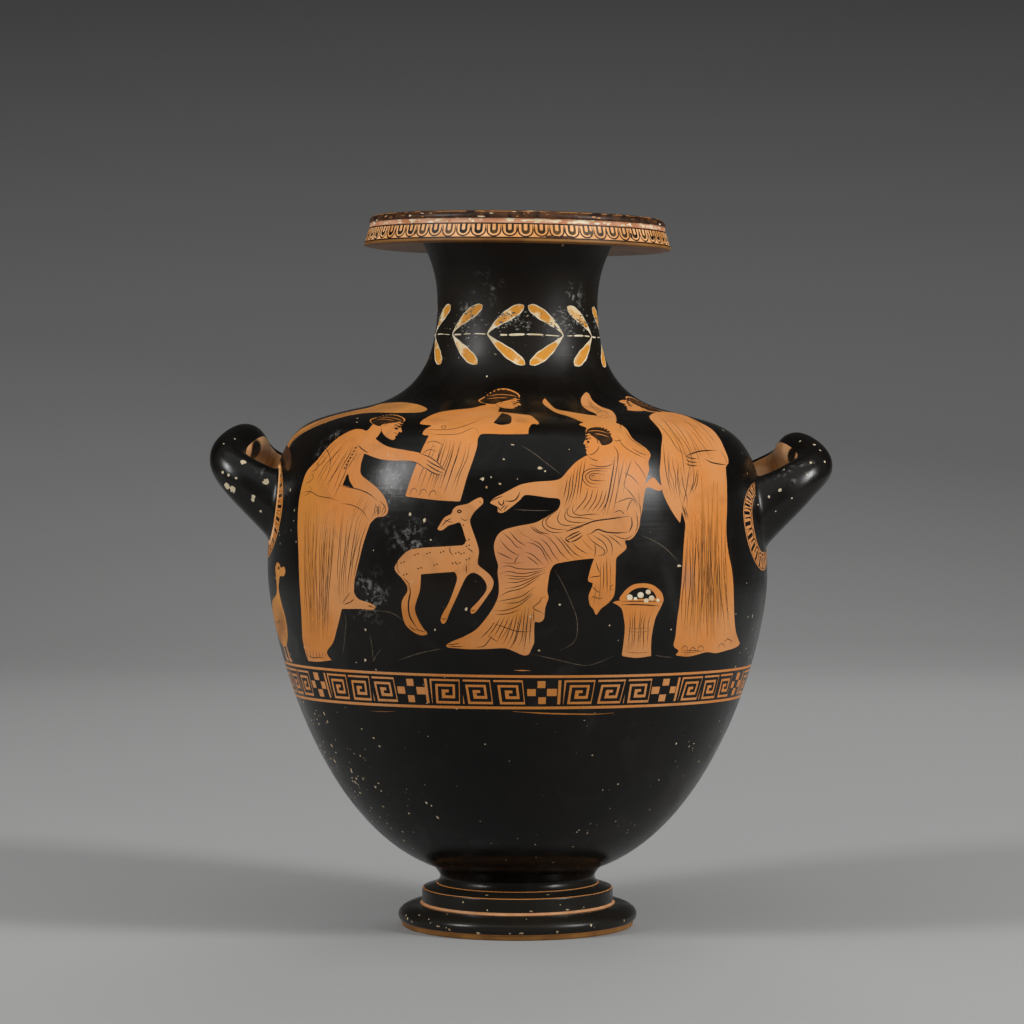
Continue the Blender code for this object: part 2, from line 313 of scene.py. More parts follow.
class Canvas:
    """One turned surface, unrolled so that paint can be cut into it.

    A place on it is (angle, height along the profile). Angle 0 is the front, and it grows to
    the right. Paint is laid in order, so a later patch covers an earlier one.
    """

    def __init__(self, profile, reference):
        self.profile = np.array([(point.x, point.y) for point in profile])
        steps = np.hypot(*np.diff(self.profile, axis=0).T)
        self.along = np.concatenate([[0.0], np.cumsum(steps)])
        tangents = np.gradient(self.profile, self.along, axis=0)
        tangents /= np.linalg.norm(tangents, axis=1)[:, None]
        self.normals = np.stack([tangents[:, 1], -tangents[:, 0]], axis=1)
        self.reference = reference
        self.patches = []

    def run(self, level):
        """The length along the profile at a height, for a profile that only rises."""
        return np.interp(level, self.profile[:, 1], self.along)

    def radius(self, level):
        return np.interp(level, self.profile[:, 1], self.profile[:, 0])

    def patch(self, places, paint):
        """A closed patch from an array of (angle, run) places."""
        flat = np.array(places, dtype=float)
        self.patches.append((np.stack([flat[:, 0] * self.reference, flat[:, 1]], axis=1), paint))

    def ring(self, low, high, paint):
        """A band all the way round, between two lengths along the profile."""
        around = np.linspace(-math.pi, math.pi, COLUMNS + 1)
        lower = np.stack([around, np.full(len(around), low)], axis=1)
        upper = np.stack([around, np.full(len(around), high)], axis=1)
        self.patch(np.concatenate([lower, upper[::-1]]), paint)

    def build(self, name, base, paints):
        """The mesh, its triangles split along every patch's edge."""
        half = math.pi * self.reference
        across = np.linspace(-half, half, COLUMNS + 1)
        places = [Vector((x, s)) for s in self.along for x in across]
        edges = []
        for outline, _ in self.patches:
            first = len(places)
            inside = np.clip(outline[:, 0], -half, half)
            places += [Vector((x, s)) for x, s in zip(inside, outline[:, 1])]
            count = len(outline)
            edges += [(first + k, first + (k + 1) % count) for k in range(count)]
        points, _, faces, *_ = geometry.delaunay_2d_cdt(places, edges, [], 0, 1e-7, False)
        flat = np.array([(p.x, p.y) for p in points])
        faces = np.array(faces)
        slots = self.classify(flat[faces].mean(axis=1), base, paints)
        return self.wrap(name, flat, faces, slots, paints)

    def classify(self, middles, base, paints):
        """The paint of each triangle: the last patch that its middle lies in."""
        names = list(paints)
        slots = np.full(len(middles), names.index(base))
        for outline, paint in self.patches:
            low = outline.min(axis=0)
            high = outline.max(axis=0)
            near = np.where(((middles > low) & (middles < high)).all(axis=1))[0]
            if len(near):
                slots[near[winding(outline, middles[near]) != 0]] = names.index(paint)
        return slots

    def wrap(self, name, flat, faces, slots, paints):
        """The mesh in space, closed at its seam and given the profile's own normals."""
        angle = flat[:, 0] / self.reference
        radius = np.interp(flat[:, 1], self.along, self.profile[:, 0])
        level = np.interp(flat[:, 1], self.along, self.profile[:, 1])
        out = np.interp(flat[:, 1], self.along, self.normals[:, 0])
        rise = np.interp(flat[:, 1], self.along, self.normals[:, 1])
        places = leaned(np.stack([radius * np.sin(angle), -radius * np.cos(angle), level], axis=1))
        normals = np.stack([out * np.sin(angle), -out * np.cos(angle), rise], axis=1)
        normals /= np.linalg.norm(normals, axis=1)[:, None]
        seam = np.round(np.abs(flat[:, 0]), 6) >= round(math.pi * self.reference, 6)
        twins = {}
        merged = np.arange(len(flat))
        for index in np.where(seam | (radius < 1e-6))[0]:
            key = "axis" if radius[index] < 1e-6 else round(flat[index, 1], 6)
            merged[index] = twins.setdefault(key, index)
        faces = merged[faces]
        first, second, third = faces.T
        whole = (first != second) & (second != third) & (first != third)
        used, faces = np.unique(faces[whole], return_inverse=True)
        mesh = bpy.data.meshes.new(name)
        mesh.from_pydata(places[used].tolist(), [], faces.reshape(-1, 3).tolist())
        piece = link(name, mesh, paints.values())
        mesh.polygons.foreach_set("material_index", slots[whole].astype(np.int32))
        mesh.shade_smooth()
        mesh.normals_split_custom_set_from_vertices(normals[used].tolist())
        return piece


def winding(outline, places):
    """How often a closed outline winds round each place."""
    total = np.zeros(len(places), dtype=int)
    for start, end in zip(outline, np.roll(outline, -1, axis=0)):
        x, y = places.T
        side = (end[0] - start[0]) * (y - start[1]) - (x - start[0]) * (end[1] - start[1])
        total += (start[1] <= y) & (end[1] > y) & (side > 0)
        total -= (start[1] > y) & (end[1] <= y) & (side < 0)
    return total


# Handles: the same paths and sections as the solid's, with more rings and a fillet at the wall
def wall_at(value, axis):
    """The outer wall's point and normal where its radius or height, axis 0 or 1, reaches a value."""
    points = body_curve(24)
    normals = outward_normals(points)
    for index in range(len(points) - 2, 0, -1):
        low = points[index][axis]
        high = points[index + 1][axis]
        if min(low, high) <= value <= max(low, high):
            share = (value - low) / (high - low)
            place = points[index].lerp(points[index + 1], share)
            return place, normals[index].lerp(normals[index + 1], share).normalized()
    raise ValueError(f"the wall doesn't reach {value}")


def flare(t):
    """How much of the root's extra size is left at a share t of the way to the far end."""
    return max(1.0 - t / FLARE_END, 0.0) ** FLARE_POWER


def section(centre, along, across, t):
    """One ring of a handle: an ellipse that is tall and wide at the root and round beyond it."""
    tall = along.cross(across).normalized()
    half_tall = (HANDLE_THICKNESS + (HANDLE_ROOT_HEIGHT - HANDLE_THICKNESS) * flare(t)) / 2
    half_wide = (HANDLE_THICKNESS + (HANDLE_ROOT_WIDTH - HANDLE_THICKNESS) * flare(t)) / 2
    ring = []
    for index in range(HANDLE_SIDES):
        angle = math.tau * index / HANDLE_SIDES
        wide = across * (half_wide * math.cos(angle))
        ring.append(centre + wide + tall * (half_tall * math.sin(angle)))
    return ring


def swept_rings(centres, shares, across, leaving, arriving):
    """Rings along a path, each turned as little as possible from the one before."""
    rings = []
    for index, centre in enumerate(centres):
        facing = leaving if index < len(centres) / 2 else arriving
        before = centres[max(index - 1, 0)]
        after = centres[min(index + 1, len(centres) - 1)]
        along = facing.lerp((after - before).normalized(), min(shares[index] / FLARE_END, 1.0))
        along.normalize()
        across = (across - along * across.dot(along)).normalized()
        rings.append(section(centre, along, across, shares[index]))
    return rings


def smooth_path(points, first_direction, steps):
    """Points on a smooth curve through the given ones, both ends included."""
    path = []
    for index in range(len(points) - 1):
        start, end = points[index], points[index + 1]
        length = (end - start).length
        leave = (end - points[index - 1]) / 2 if index else first_direction * length
        arrive = (points[min(index + 2, len(points) - 1)] - start) / 2
        path += bezier(start, start + leave / 3, end - arrive / 3, end, steps)
    return path + [points[-1]]


def side_root():
    """Where the near root's middle is on the wall, and which way it faces, about the +X axis."""
    wall, normal = wall_at(SHOULDER_LEVEL - HANDLE_DROP, 1)
    swing = math.asin(HANDLE_SPREAD / 2 / wall.x)
    return wall, normal, swing


def side_handle_rings(reach):
    """A loop with both roots level on the wall, built about the +X axis and rising outwards."""
    root_level = SHOULDER_LEVEL - HANDLE_DROP
    wall, normal, swing = side_root()
    around = Matrix.Rotation(-swing, 4, "Z")
    facing = around @ Vector((normal.x, 0.0, normal.y))
    root = around @ Vector((wall.x, 0.0, wall.y)) - facing * (WALL * ROOT_DEPTH_SHARE)
    limb = Vector((math.cos(HANDLE_LIMB_SLOPE), 0.0, math.sin(HANDLE_LIMB_SLOPE)))
    middle = Vector((wall.x + reach, 0.0, root_level + HANDLE_RISE))
    corner = middle + Vector((HANDLE_CORNER_OUT, -HANDLE_CORNER_SPREAD / 2, -HANDLE_CORNER_DROP))
    far_corner = Vector((corner.x, -corner.y, corner.z))
    stops = [root, root + limb * HANDLE_LIMB_LENGTH, corner, middle, far_corner]
    path = smooth_path(stops, limb, HANDLE_STEPS)
    count = 3 * HANDLE_STEPS + 1
    shares = [min(index / (count - 1), 1.0) for index in range(count + 1)]
    across = facing.cross(Vector((0.0, 0.0, 1.0)))
    first = swept_rings(path[: count + 1], shares, across, facing, facing)[:count]
    second = [[Vector((p.x, -p.y, p.z)) for p in ring] for ring in reversed(first[:-1])]
    return first + second


def back_handle_rings():
    """An upright loop behind the neck, from the shoulder to the neck under the lip."""
    foot, foot_normal = wall_at(SHOULDER_RADIUS + BACK_ROOT_INSET, 0)
    top, top_normal = wall_at(MOUTH_LEVEL - BACK_HANDLE_DROP, 1)
    depth = WALL * ROOT_DEPTH_SHARE
    low = foot - foot_normal * depth
    high = top - top_normal * depth
    low_pull = foot + foot_normal * BACK_PULL_UP
    high_pull = top + top_normal * BACK_PULL_OUT
    steps = HANDLE_STEPS * 5
    flat = bezier(low, low_pull, high_pull, high, steps) + [high]
    centres = [Vector((0.0, point.x, point.y)) for point in flat]
    shares = [2 * min(index, steps - index) / steps for index in range(steps + 1)]
    leaving = Vector((0.0, foot_normal.x, foot_normal.y))
    arriving = Vector((0.0, -top_normal.x, -top_normal.y))
    return swept_rings(centres, shares, Vector((1.0, 0.0, 0.0)), leaving, arriving)


WALL_LINE = np.array([(p.x, p.y) for p in body_curve(240)])
WALL_NORMALS = np.array([(n.x, n.y) for n in outward_normals(body_curve(240))])


def onto_wall(places):
    """How far places stand off the outer wall, the wall's normals there and the places below."""
    flat = np.hypot(places[:, 0], places[:, 1])
    away = np.stack([flat, places[:, 2]], axis=1)[:, None, :] - WALL_LINE[None]
    nearest = (away**2).sum(axis=2).argmin(axis=1)
    offset = away[np.arange(len(places)), nearest]
    normal = WALL_NORMALS[nearest]
    gap = (offset * normal).sum(axis=1)
    spread = places[:, :2] / flat[:, None]
    normals = np.stack([spread[:, 0] * normal[:, 0], spread[:, 1] * normal[:, 0], normal[:, 1]], axis=1)
    return gap, normals, places - normals * gap[:, None]


def filleted(columns):
    """One end of each column of a handle swapped for a concave curve that meets the wall."""
    made = []
    centre = columns[:, 0].mean(axis=0)
    for column in columns:
        gap, _, _ = onto_wall(column)
        steps = np.arange(len(column), dtype=float)
        clear = int(np.argmax(gap > HANDLE_FILLET)) + 1
        meets = np.interp(0.0, gap[:clear], steps[:clear])
        leaves = np.interp(HANDLE_FILLET, gap[:clear], steps[:clear])
        corner, top = (sample(column, at) for at in (meets, leaves))
        _, normal, corner_down = onto_wall(corner[None])
        away = corner - centre
        away -= normal[0] * away.dot(normal[0])
        edge = corner_down[0] + away / np.linalg.norm(away) * HANDLE_FILLET
        _, _, edge = onto_wall(edge[None])
        t = np.linspace(0.0, 1.0, FILLET_STEPS, endpoint=False)[:, None]
        curve = edge[0] * (1 - t) ** 2 + corner * (2 * t * (1 - t)) + top * t**2
        made.append((curve, leaves))
    return made


def sample(column, at):
    """A place on a column between its rings."""
    return np.array([np.interp(at, np.arange(len(column)), column[:, k]) for k in range(3)])


def handle_piece(name, rings, turn, materials, slot_of):
    """A swept handle with a fillet at both ends, its faces painted by slot_of(side, row)."""
    around = np.array(Matrix.Rotation(turn, 3, "Z"))
    grid = np.array([[tuple(p) for p in ring] for ring in rings]) @ around.T
    columns = grid.transpose(1, 0, 2)
    near = filleted(columns)
    far = filleted(columns[:, ::-1])
    last = columns.shape[1] - 1
    rows = []
    for column, (start, first), (end, final) in zip(columns, near, far):
        stops = np.linspace(first, last - final, HANDLE_ROWS)
        middle = np.array([sample(column, at) for at in stops])
        rows.append(np.concatenate([start, middle, end[::-1]]))
    grid = np.array(rows)
    sides, length = grid.shape[:2]
    faces = []
    slots = []
    for side in range(sides):
        after = (side + 1) % sides
        for row in range(length - 1):
            here = side * length + row
            there = after * length + row
            faces.append((here, there, there + 1, here + 1))
            slots.append(slot_of((side + 0.5) / sides, row / (length - 1)))
    mesh = bpy.data.meshes.new(name)
    mesh.from_pydata(leaned(grid.reshape(-1, 3)).tolist(), [], faces)
    piece = link(name, mesh, materials)
    mesh.polygons.foreach_set("material_index", np.array(slots, dtype=np.int32))
    mesh.shade_smooth()
    return piece


# Materials
def new_material(name, roughness):
    material = bpy.data.materials.new(name)
    material.use_nodes = True
    tree = material.node_tree
    shader = tree.nodes["Principled BSDF"]
    shader.inputs["Roughness"].default_value = roughness
    return material, tree, shader


def add(tree, kind, inputs=None, **settings):
    """A node with its settings and input values. An input that is a socket is linked."""
    node = tree.nodes.new(kind)
    for key, value in settings.items():
        setattr(node, key, value)
    for key, value in (inputs or {}).items():
        if isinstance(value, bpy.types.NodeSocket):
            tree.links.new(value, node.inputs[key])
        else:
            node.inputs[key].default_value = value
    return node


def noise(tree, places, scale, detail=4.0, distortion=0.0):
    inputs = {"Vector": places, "Scale": scale, "Detail": detail, "Distortion": distortion}
    return add(tree, "ShaderNodeTexNoise", inputs).outputs["Fac"]


def between(tree, value, low, high):
    """The value spread from 0 at low to 1 at high, with soft ends."""
    inputs = {"Value": value, "From Min": low, "From Max": high}
    return add(tree, "ShaderNodeMapRange", inputs, interpolation_type="SMOOTHSTEP").outputs["Result"]


def math_of(tree, operation, first, second):
    return add(tree, "ShaderNodeMath", {0: first, 1: second}, operation=operation).outputs[0]


def strongest(tree, values):
    """The largest of several values, or nothing if there are none."""
    most = None
    for value in values:
        most = value if most is None else math_of(tree, "MAXIMUM", most, value)
    return most


def blend(tree, share, first, second):
    """Two colours mixed. A colour is a socket or three linear numbers."""
    node = add(tree, "ShaderNodeMix", {"Factor": share}, data_type="RGBA", blend_type="MIX")
    for socket, colour in ((node.inputs[6], first), (node.inputs[7], second)):
        if isinstance(colour, bpy.types.NodeSocket):
            tree.links.new(colour, socket)
        else:
            socket.default_value = (*colour, 1.0)
    return node.outputs[2]


def laid_over(tree, colour, mask, amount, tone):
    """A colour with an amount of a tone over it where the mask is."""
    return blend(tree, math_of(tree, "MULTIPLY", mask, amount), colour, tone)


def object_places(tree):
    return add(tree, "ShaderNodeTexCoord").outputs["Object"]


def height_of(tree, places):
    return add(tree, "ShaderNodeSeparateXYZ", {"Vector": places}).outputs["Z"]


def patches(tree, places, scale, detail, low, high, distortion=0.0):
    """Cloudy noise, 0 where it is under low and 1 where it is over high."""
    return between(tree, noise(tree, places, scale, detail, distortion), low, high)


def chips(tree, places, cell, size, rarity):
    """Small flecks: 1 inside a fleck, in the share of cells that rarity leaves."""
    inputs = {"Vector": places, "Scale": 3.0 / cell, "Detail": 2.0}
    wander = add(tree, "ShaderNodeTexNoise", inputs).outputs["Color"]
    inputs = {0: wander, 1: (cell * 0.12,) * 3}
    moved = add(tree, "ShaderNodeVectorMath", inputs, operation="MULTIPLY").outputs[0]
    bent = add(tree, "ShaderNodeVectorMath", {0: places, 1: moved}, operation="ADD").outputs[0]
    spots = add(tree, "ShaderNodeTexVoronoi", {"Vector": bent, "Scale": 1.0 / cell})
    chosen = add(tree, "ShaderNodeSeparateColor", {"Color": spots.outputs["Color"]})
    big = math_of(tree, "MULTIPLY", chosen.outputs["Green"], size / cell)
    inside = math_of(tree, "LESS_THAN", spots.outputs["Distance"], big)
    kept = math_of(tree, "GREATER_THAN", chosen.outputs["Red"], rarity)
    return math_of(tree, "MULTIPLY", inside, kept)


def soft_ball(tree, places, centre, radius):
    """1 near a centre, falling softly to 0 at the radius."""
    offset = add(tree, "ShaderNodeVectorMath", {0: places, 1: centre}, operation="DISTANCE")
    return between(tree, offset.outputs["Value"], radius, 0.0)


def ragged_ball(tree, places, ragged, centre, radius):
    """1 near a centre, with a ragged edge about the radius."""
    away = add(tree, "ShaderNodeVectorMath", {0: places, 1: centre}, operation="DISTANCE")
    share = math_of(tree, "DIVIDE", away.outputs["Value"], radius)
    return math_of(tree, "LESS_THAN", math_of(tree, "ADD", share, ragged), 1.75)


def stretched(tree, places, scale):
    return add(tree, "ShaderNodeMapping", {"Vector": places, "Scale": scale}).outputs[0]


# Tones of the black slip, linear, and the heights between which it turns brown
GLOSS_BLACK = (0.0036, 0.0032, 0.0027)
GLOSS_BROWN = (0.0085, 0.0058, 0.0036)
GLOSS_GREY = (0.010, 0.009, 0.0083)
NECK_BROWN = (0.0095, 0.0062, 0.0026)
NECK_BROWN_LEVELS = (0.325, 0.37)
FOOT_BROWN = (0.0150, 0.0125, 0.0092)
FOOT_BROWN_LEVELS = (0.034, 0.028)
HAZE_WHITE = (0.19, 0.19, 0.178)
THIN_GREY = (0.05, 0.05, 0.047)
CHIP_CREAM = (0.45, 0.38, 0.27)
CHIP_ORANGE = (0.36, 0.19, 0.085)
CHIP_PALE = (0.58, 0.49, 0.33)

# Worn spots of the gloss, each a centre and a radius
HAZE_PLACES = (
    ((-0.114, -0.093, 0.300), 0.020),
    ((-0.072, -0.128, 0.275), 0.022),
    ((-0.060, -0.140, 0.243), 0.020),
    ((-0.086, -0.124, 0.212), 0.022),
    ((-0.045, -0.142, 0.288), 0.014),
    ((-0.070, -0.130, 0.255), 0.014),
    ((-0.020, -0.048, 0.394), 0.016),
    ((0.034, -0.036, 0.390), 0.013),
    ((-0.030, -0.042, 0.384), 0.012),
)


def black_gloss(name="black_gloss", shine=0.20, marks=(), worn=()):
    """Black slip: nearly black, browner on neck and foot, with pale haze, flecks and wheel lines.

    Marks are chips and worn are hazy spots at given places, each a centre and a radius; on the handles the
    hazy spots are wear and partly painted highlight along the light streaks.
    """
    material, tree, shader = new_material(name, 0.26)
    shader.inputs["Specular IOR Level"].default_value = shine
    places = object_places(tree)
    brown = patches(tree, places, 9.0, 3.0, 0.45, 0.75)
    colour = blend(tree, brown, GLOSS_BLACK, GLOSS_BROWN)
    height = height_of(tree, places)
    neck = between(tree, height, *NECK_BROWN_LEVELS)
    colour = laid_over(tree, colour, neck, 0.8, NECK_BROWN)
    base = between(tree, height, *FOOT_BROWN_LEVELS)
    colour = laid_over(tree, colour, base, 0.8, FOOT_BROWN)
    mottle = patches(tree, places, 60.0, 6.0, 0.35, 0.80, 0.4)
    colour = laid_over(tree, colour, mottle, 0.35, GLOSS_GREY)
    haze = patches(tree, places, 330.0, 9.0, 0.47, 0.66, 0.35)
    region = strongest(tree, [soft_ball(tree, places, *spot) for spot in (*HAZE_PLACES, *worn)])
    broken = patches(tree, places, 75.0, 6.0, 0.42, 0.60, 0.3)
    haze = math_of(tree, "MULTIPLY", haze, math_of(tree, "MULTIPLY", region, broken))
    colour = blend(tree, haze, colour, HAZE_WHITE)
    thin = patches(tree, places, 22.0, 6.0, 0.58, 0.78, 1.2)
    colour = laid_over(tree, colour, thin, 0.22, THIN_GREY)
    fleck = chips(tree, places, 0.016, 0.0010, 0.66)
    fine = chips(tree, places, 0.006, 0.0004, 0.84)
    pale = math_of(tree, "MAXIMUM", fleck, fine)
    ragged = math_of(tree, "MULTIPLY", noise(tree, places, 560.0, 3.0), 1.7)
    chip_tone = patches(tree, places, 35.0, 1.0, 0.4, 0.6)
    colour = blend(tree, pale, colour, blend(tree, chip_tone, CHIP_CREAM, CHIP_ORANGE))
    chipped = strongest(tree, [ragged_ball(tree, places, ragged, *mark) for mark in marks])
    if chipped is not None:
        colour = blend(tree, chipped, colour, CHIP_PALE)
        pale = math_of(tree, "MAXIMUM", pale, chipped)
    tree.links.new(colour, shader.inputs["Base Color"])
    smudge = patches(tree, places, 40.0, 5.0, 0.3, 0.8)
    spread = {"Value": smudge, "To Min": 0.20, "To Max": 0.36}
    rough = add(tree, "ShaderNodeMapRange", spread).outputs[0]
    rough = math_of(tree, "ADD", rough, math_of(tree, "MULTIPLY", neck, 0.20))
    rough = math_of(tree, "MAXIMUM", rough, math_of(tree, "MULTIPLY", pale, 0.75))
    rough = math_of(tree, "MAXIMUM", rough, math_of(tree, "MULTIPLY", haze, 0.6))
    tree.links.new(rough, shader.inputs["Roughness"])
    wheel = noise(tree, stretched(tree, places, (2.0, 2.0, 420.0)), 1.0, 3.0)
    dents = noise(tree, places, 110.0, 3.0)
    relief = math_of(tree, "ADD", wheel, dents)
    relief = math_of(tree, "SUBTRACT", relief, math_of(tree, "MULTIPLY", pale, 3.0))
    bump = add(tree, "ShaderNodeBump", {"Height": relief, "Strength": 0.35, "Distance": 0.00012})
    tree.links.new(bump.outputs[0], shader.inputs["Normal"])
    return material


# Tones of the bare clay, linear, and places with a tone of their own
CLAY_ORANGE = (0.60, 0.208, 0.042)
CLAY_PINK = (0.60, 0.255, 0.088)
CLAY_GOLD = (0.55, 0.205, 0.034)
CLAY_DUSK = (0.34, 0.125, 0.032)
CLAY_LIGHT = (0.66, 0.33, 0.13)
CLAY_SPECK = (0.10, 0.04, 0.015)
# Paler tones for the handles' inner clay: painted light, lifting the clay where the loops shade it
HANDLE_LIT_PALE = (0.86, 0.50, 0.25)
HANDLE_LIT_ORANGE = (0.66, 0.30, 0.10)
# Dark tone for painted shade deep inside the handle loops
SHADE_BLACK = (0.010, 0.006, 0.003)
CLAY_PLACES = (
    ((-0.004, -0.154, 0.236), 0.026, (0.47, 0.185, 0.082)),
    ((0.014, -0.154, 0.240), 0.020, (0.50, 0.21, 0.10)),
    ((-0.126, -0.082, 0.272), 0.034, (0.55, 0.21, 0.034)),
    ((-0.124, -0.092, 0.230), 0.030, (0.56, 0.215, 0.045)),
    ((0.117, -0.098, 0.215), 0.026, (0.50, 0.185, 0.030)),
    ((0.099, -0.118, 0.222), 0.012, (0.44, 0.19, 0.095)),
    ((0.0, -0.150, 0.205), 0.016, (0.52, 0.195, 0.034)),
    ((-0.052, -0.140, 0.190), 0.030, (0.52, 0.185, 0.036)),
)


def reserved_clay(name="reserved_clay", shade_spots=(), pale=0.0):
    """Orange clay left bare and polished, with pinker and browner patches. Pale lifts it toward lighter
    tones as painted light, and dark spots at given places are painted shade.
    """
    material, tree, shader = new_material(name, 0.42)
    shader.inputs["Specular IOR Level"].default_value = 0.14
    places = object_places(tree)
    patch = patches(tree, places, 16.0, 3.0, 0.40, 0.64)
    colour = blend(tree, patch, CLAY_ORANGE, CLAY_PINK)
    golden = patches(tree, places, 11.0, 2.0, 0.50, 0.70, 0.4)
    colour = laid_over(tree, colour, golden, 0.7, CLAY_GOLD)
    dusk = patches(tree, places, 55.0, 5.0, 0.50, 0.80, 0.8)
    colour = laid_over(tree, colour, dusk, 0.5, CLAY_DUSK)
    grain = patches(tree, stretched(tree, places, (900.0, 900.0, 60.0)), 1.0, 2.0, 0.3, 0.7)
    colour = laid_over(tree, colour, grain, 0.14, CLAY_LIGHT)
    for centre, radius, tone in CLAY_PLACES:
        colour = laid_over(tree, colour, soft_ball(tree, places, centre, radius), 0.75, tone)
    # Pale lifts the clay toward the lighter handle tones: painted light
    if pale:
        mottle = patches(tree, places, 90.0, 4.0, 0.36, 0.66, 0.5)
        colour = blend(tree, pale, colour, blend(tree, mottle, HANDLE_LIT_PALE, HANDLE_LIT_ORANGE))
    specks = chips(tree, places, 0.006, 0.0005, 0.84)
    colour = blend(tree, specks, colour, CLAY_SPECK)
    # Dark spots of painted shade where the handle loops are deep
    for centre, radius in shade_spots:
        ball = soft_ball(tree, places, centre, radius)
        colour = blend(tree, between(tree, ball, 0.05, 0.35), colour, SHADE_BLACK)
    tree.links.new(colour, shader.inputs["Base Color"])
    bump = add(tree, "ShaderNodeBump", {"Height": dusk, "Strength": 0.2, "Distance": 0.0001})
    tree.links.new(bump.outputs[0], shader.inputs["Normal"])
    return material


def plain_paint(name, light, dark, scale, roughness, low=0.3, high=0.7):
    """A thin coat that wanders between two tones."""
    material, tree, shader = new_material(name, roughness)
    shader.inputs["Specular IOR Level"].default_value = 0.15
    places = object_places(tree)
    tone = patches(tree, places, scale, 5.0, low, high, 0.5)
    tree.links.new(blend(tree, tone, dark, light), shader.inputs["Base Color"])
    return material


# Plain coats: name of the material, light tone, dark tone, scale, roughness and how the two mix
COATS = {
    "line": ("relief_line", (0.036, 0.015, 0.005), (0.010, 0.005, 0.003), 90.0, 0.4),
    "wash": ("thin_wash", (0.36, 0.135, 0.034), (0.19, 0.068, 0.018), 120.0, 0.4),
    "rosy": ("rosy_slip", (0.62, 0.33, 0.20), (0.44, 0.17, 0.075), 60.0, 0.6),
    "white": ("added_white", (0.78, 0.70, 0.53), (0.60, 0.47, 0.28), 150.0, 0.65),
    "leaf": ("golden_leaf", (0.64, 0.27, 0.03), (0.78, 0.62, 0.36), 95.0, 0.6, 0.35, 0.50),
    "haze": ("worn_white", (0.20, 0.20, 0.18), (0.035, 0.034, 0.03), 500.0, 0.6),
    # This coat is clay darkened as painted shade, for the undersides and the resting edge
    "shaded_clay": ("clay_painted_shade", (0.27, 0.122, 0.031), (0.155, 0.064, 0.017), 40.0, 0.5),
    "lip": ("lip_clay", (0.86, 0.47, 0.22), (0.66, 0.285, 0.085), 45.0, 0.5, 0.35, 0.65),
    "deep": ("deep_clay", (0.50, 0.185, 0.034), (0.38, 0.130, 0.024), 60.0, 0.42),
    # The groove coat is the groove's own pale clay, made lighter still as painted light against the shade
    # on the moulding
    "groove": ("pale_clay_painted_light", (0.62, 0.34, 0.17), (0.50, 0.23, 0.10), 70.0, 0.5),
    "sash": ("golden_clay", (0.60, 0.25, 0.055), (0.36, 0.145, 0.04), 30.0, 0.45),
    "hair": ("hair_brown", (0.048, 0.020, 0.007), (0.010, 0.006, 0.003), 260.0, 0.4),
    "bead": ("worn_bead", (0.085, 0.036, 0.016), (0.012, 0.008, 0.006), 140.0, 0.35),
    "olive": ("worn_core", (0.11, 0.060, 0.018), (0.014, 0.010, 0.006), 110.0, 0.4),
    "chip": ("bare_chip", (0.62, 0.52, 0.36), (0.44, 0.31, 0.17), 200.0, 0.8),
    "pale_line": ("pale_line", (0.15, 0.11, 0.07), (0.06, 0.045, 0.03), 300.0, 0.5),
}


def paints():
    """Every material of the skin, by the name that the painting uses."""
    coats = {"black": black_gloss(), "clay": reserved_clay()}
    for name, coat in COATS.items():
        coats[name] = plain_paint(*coat)
    return coats


# Painting. Seen places are millimetres across and up on the upright plane through the axis,
# as the camera sees them. Wall places are (angle, length along the profile).
MM = 0.001
SEARCH_STEPS = 40
LINE_GAIN = 1.05


def on_wall(canvas, points):
    """Where the camera's rays through seen places meet the body."""
    plane = np.array(points, dtype=float) * MM
    eye = np.array([CAMERA_OFFSET, -CAMERA_DISTANCE, CAMERA_HEIGHT])
    rays = np.stack([plane[:, 0], np.zeros(len(plane)), plane[:, 1]], axis=1) - eye
    nearest = -(rays[:, 0] * eye[0] + rays[:, 1] * eye[1]) / (rays[:, 0] ** 2 + rays[:, 1] ** 2)
    outside = np.full(len(plane), 1.0 - 1.3 * BELLY_RADIUS / CAMERA_DISTANCE)
    inside = nearest.copy()
    for _ in range(SEARCH_STEPS):
        middle = (outside + inside) / 2
        place = eye + rays * middle[:, None]
        level = place[:, 2] + place[:, 0] * math.tan(LEAN) * lean_ease(place[:, 2])
        clear = np.hypot(place[:, 0], place[:, 1]) > canvas.radius(level)
        outside = np.where(clear, middle, outside)
        inside = np.where(clear, inside, middle)
    return np.stack([np.arctan2(place[:, 0], -place[:, 1]), canvas.run(level)], axis=1)


def smooth(points, closed=False, steps=7):
    """A smooth curve through points. A point given twice makes a corner."""
    stops = np.array(points, dtype=float)
    count = len(stops)
    spans = count if closed else count - 1
    t = np.linspace(0.0, 1.0, steps, endpoint=False)[:, None]
    made = []
    for index in range(spans):
        picks = [index - 1, index, index + 1, index + 2]
        picks = [p % count if closed else min(max(p, 0), count - 1) for p in picks]
        a, b, c, d = stops[picks]
        length = np.linalg.norm(c - b)
        if length == 0:
            continue
        leave, arrive = (c - a) / 2, (d - b) / 2
        leave = leave * min(1.0, length / max(np.linalg.norm(leave), 1e-9))
        arrive = arrive * min(1.0, length / max(np.linalg.norm(arrive), 1e-9))
        s = 1 - t
        near = (b + leave / 3) * 3 * s * s * t
        far = (c - arrive / 3) * 3 * s * t * t
        made.append(b * s**3 + near + far + c * t**3)
    if not closed:
        made.append(stops[-1:])
    return np.concatenate(made)


def evenly(path, step):
    """The same path with points about a step apart."""
    lengths = np.concatenate([[0.0], np.cumsum(np.hypot(*np.diff(path, axis=0).T))])
    count = max(int(lengths[-1] / step) + 1, 4)
    at = np.linspace(0.0, lengths[-1], count)
    return np.stack([np.interp(at, lengths, path[:, k]) for k in range(2)], axis=1)


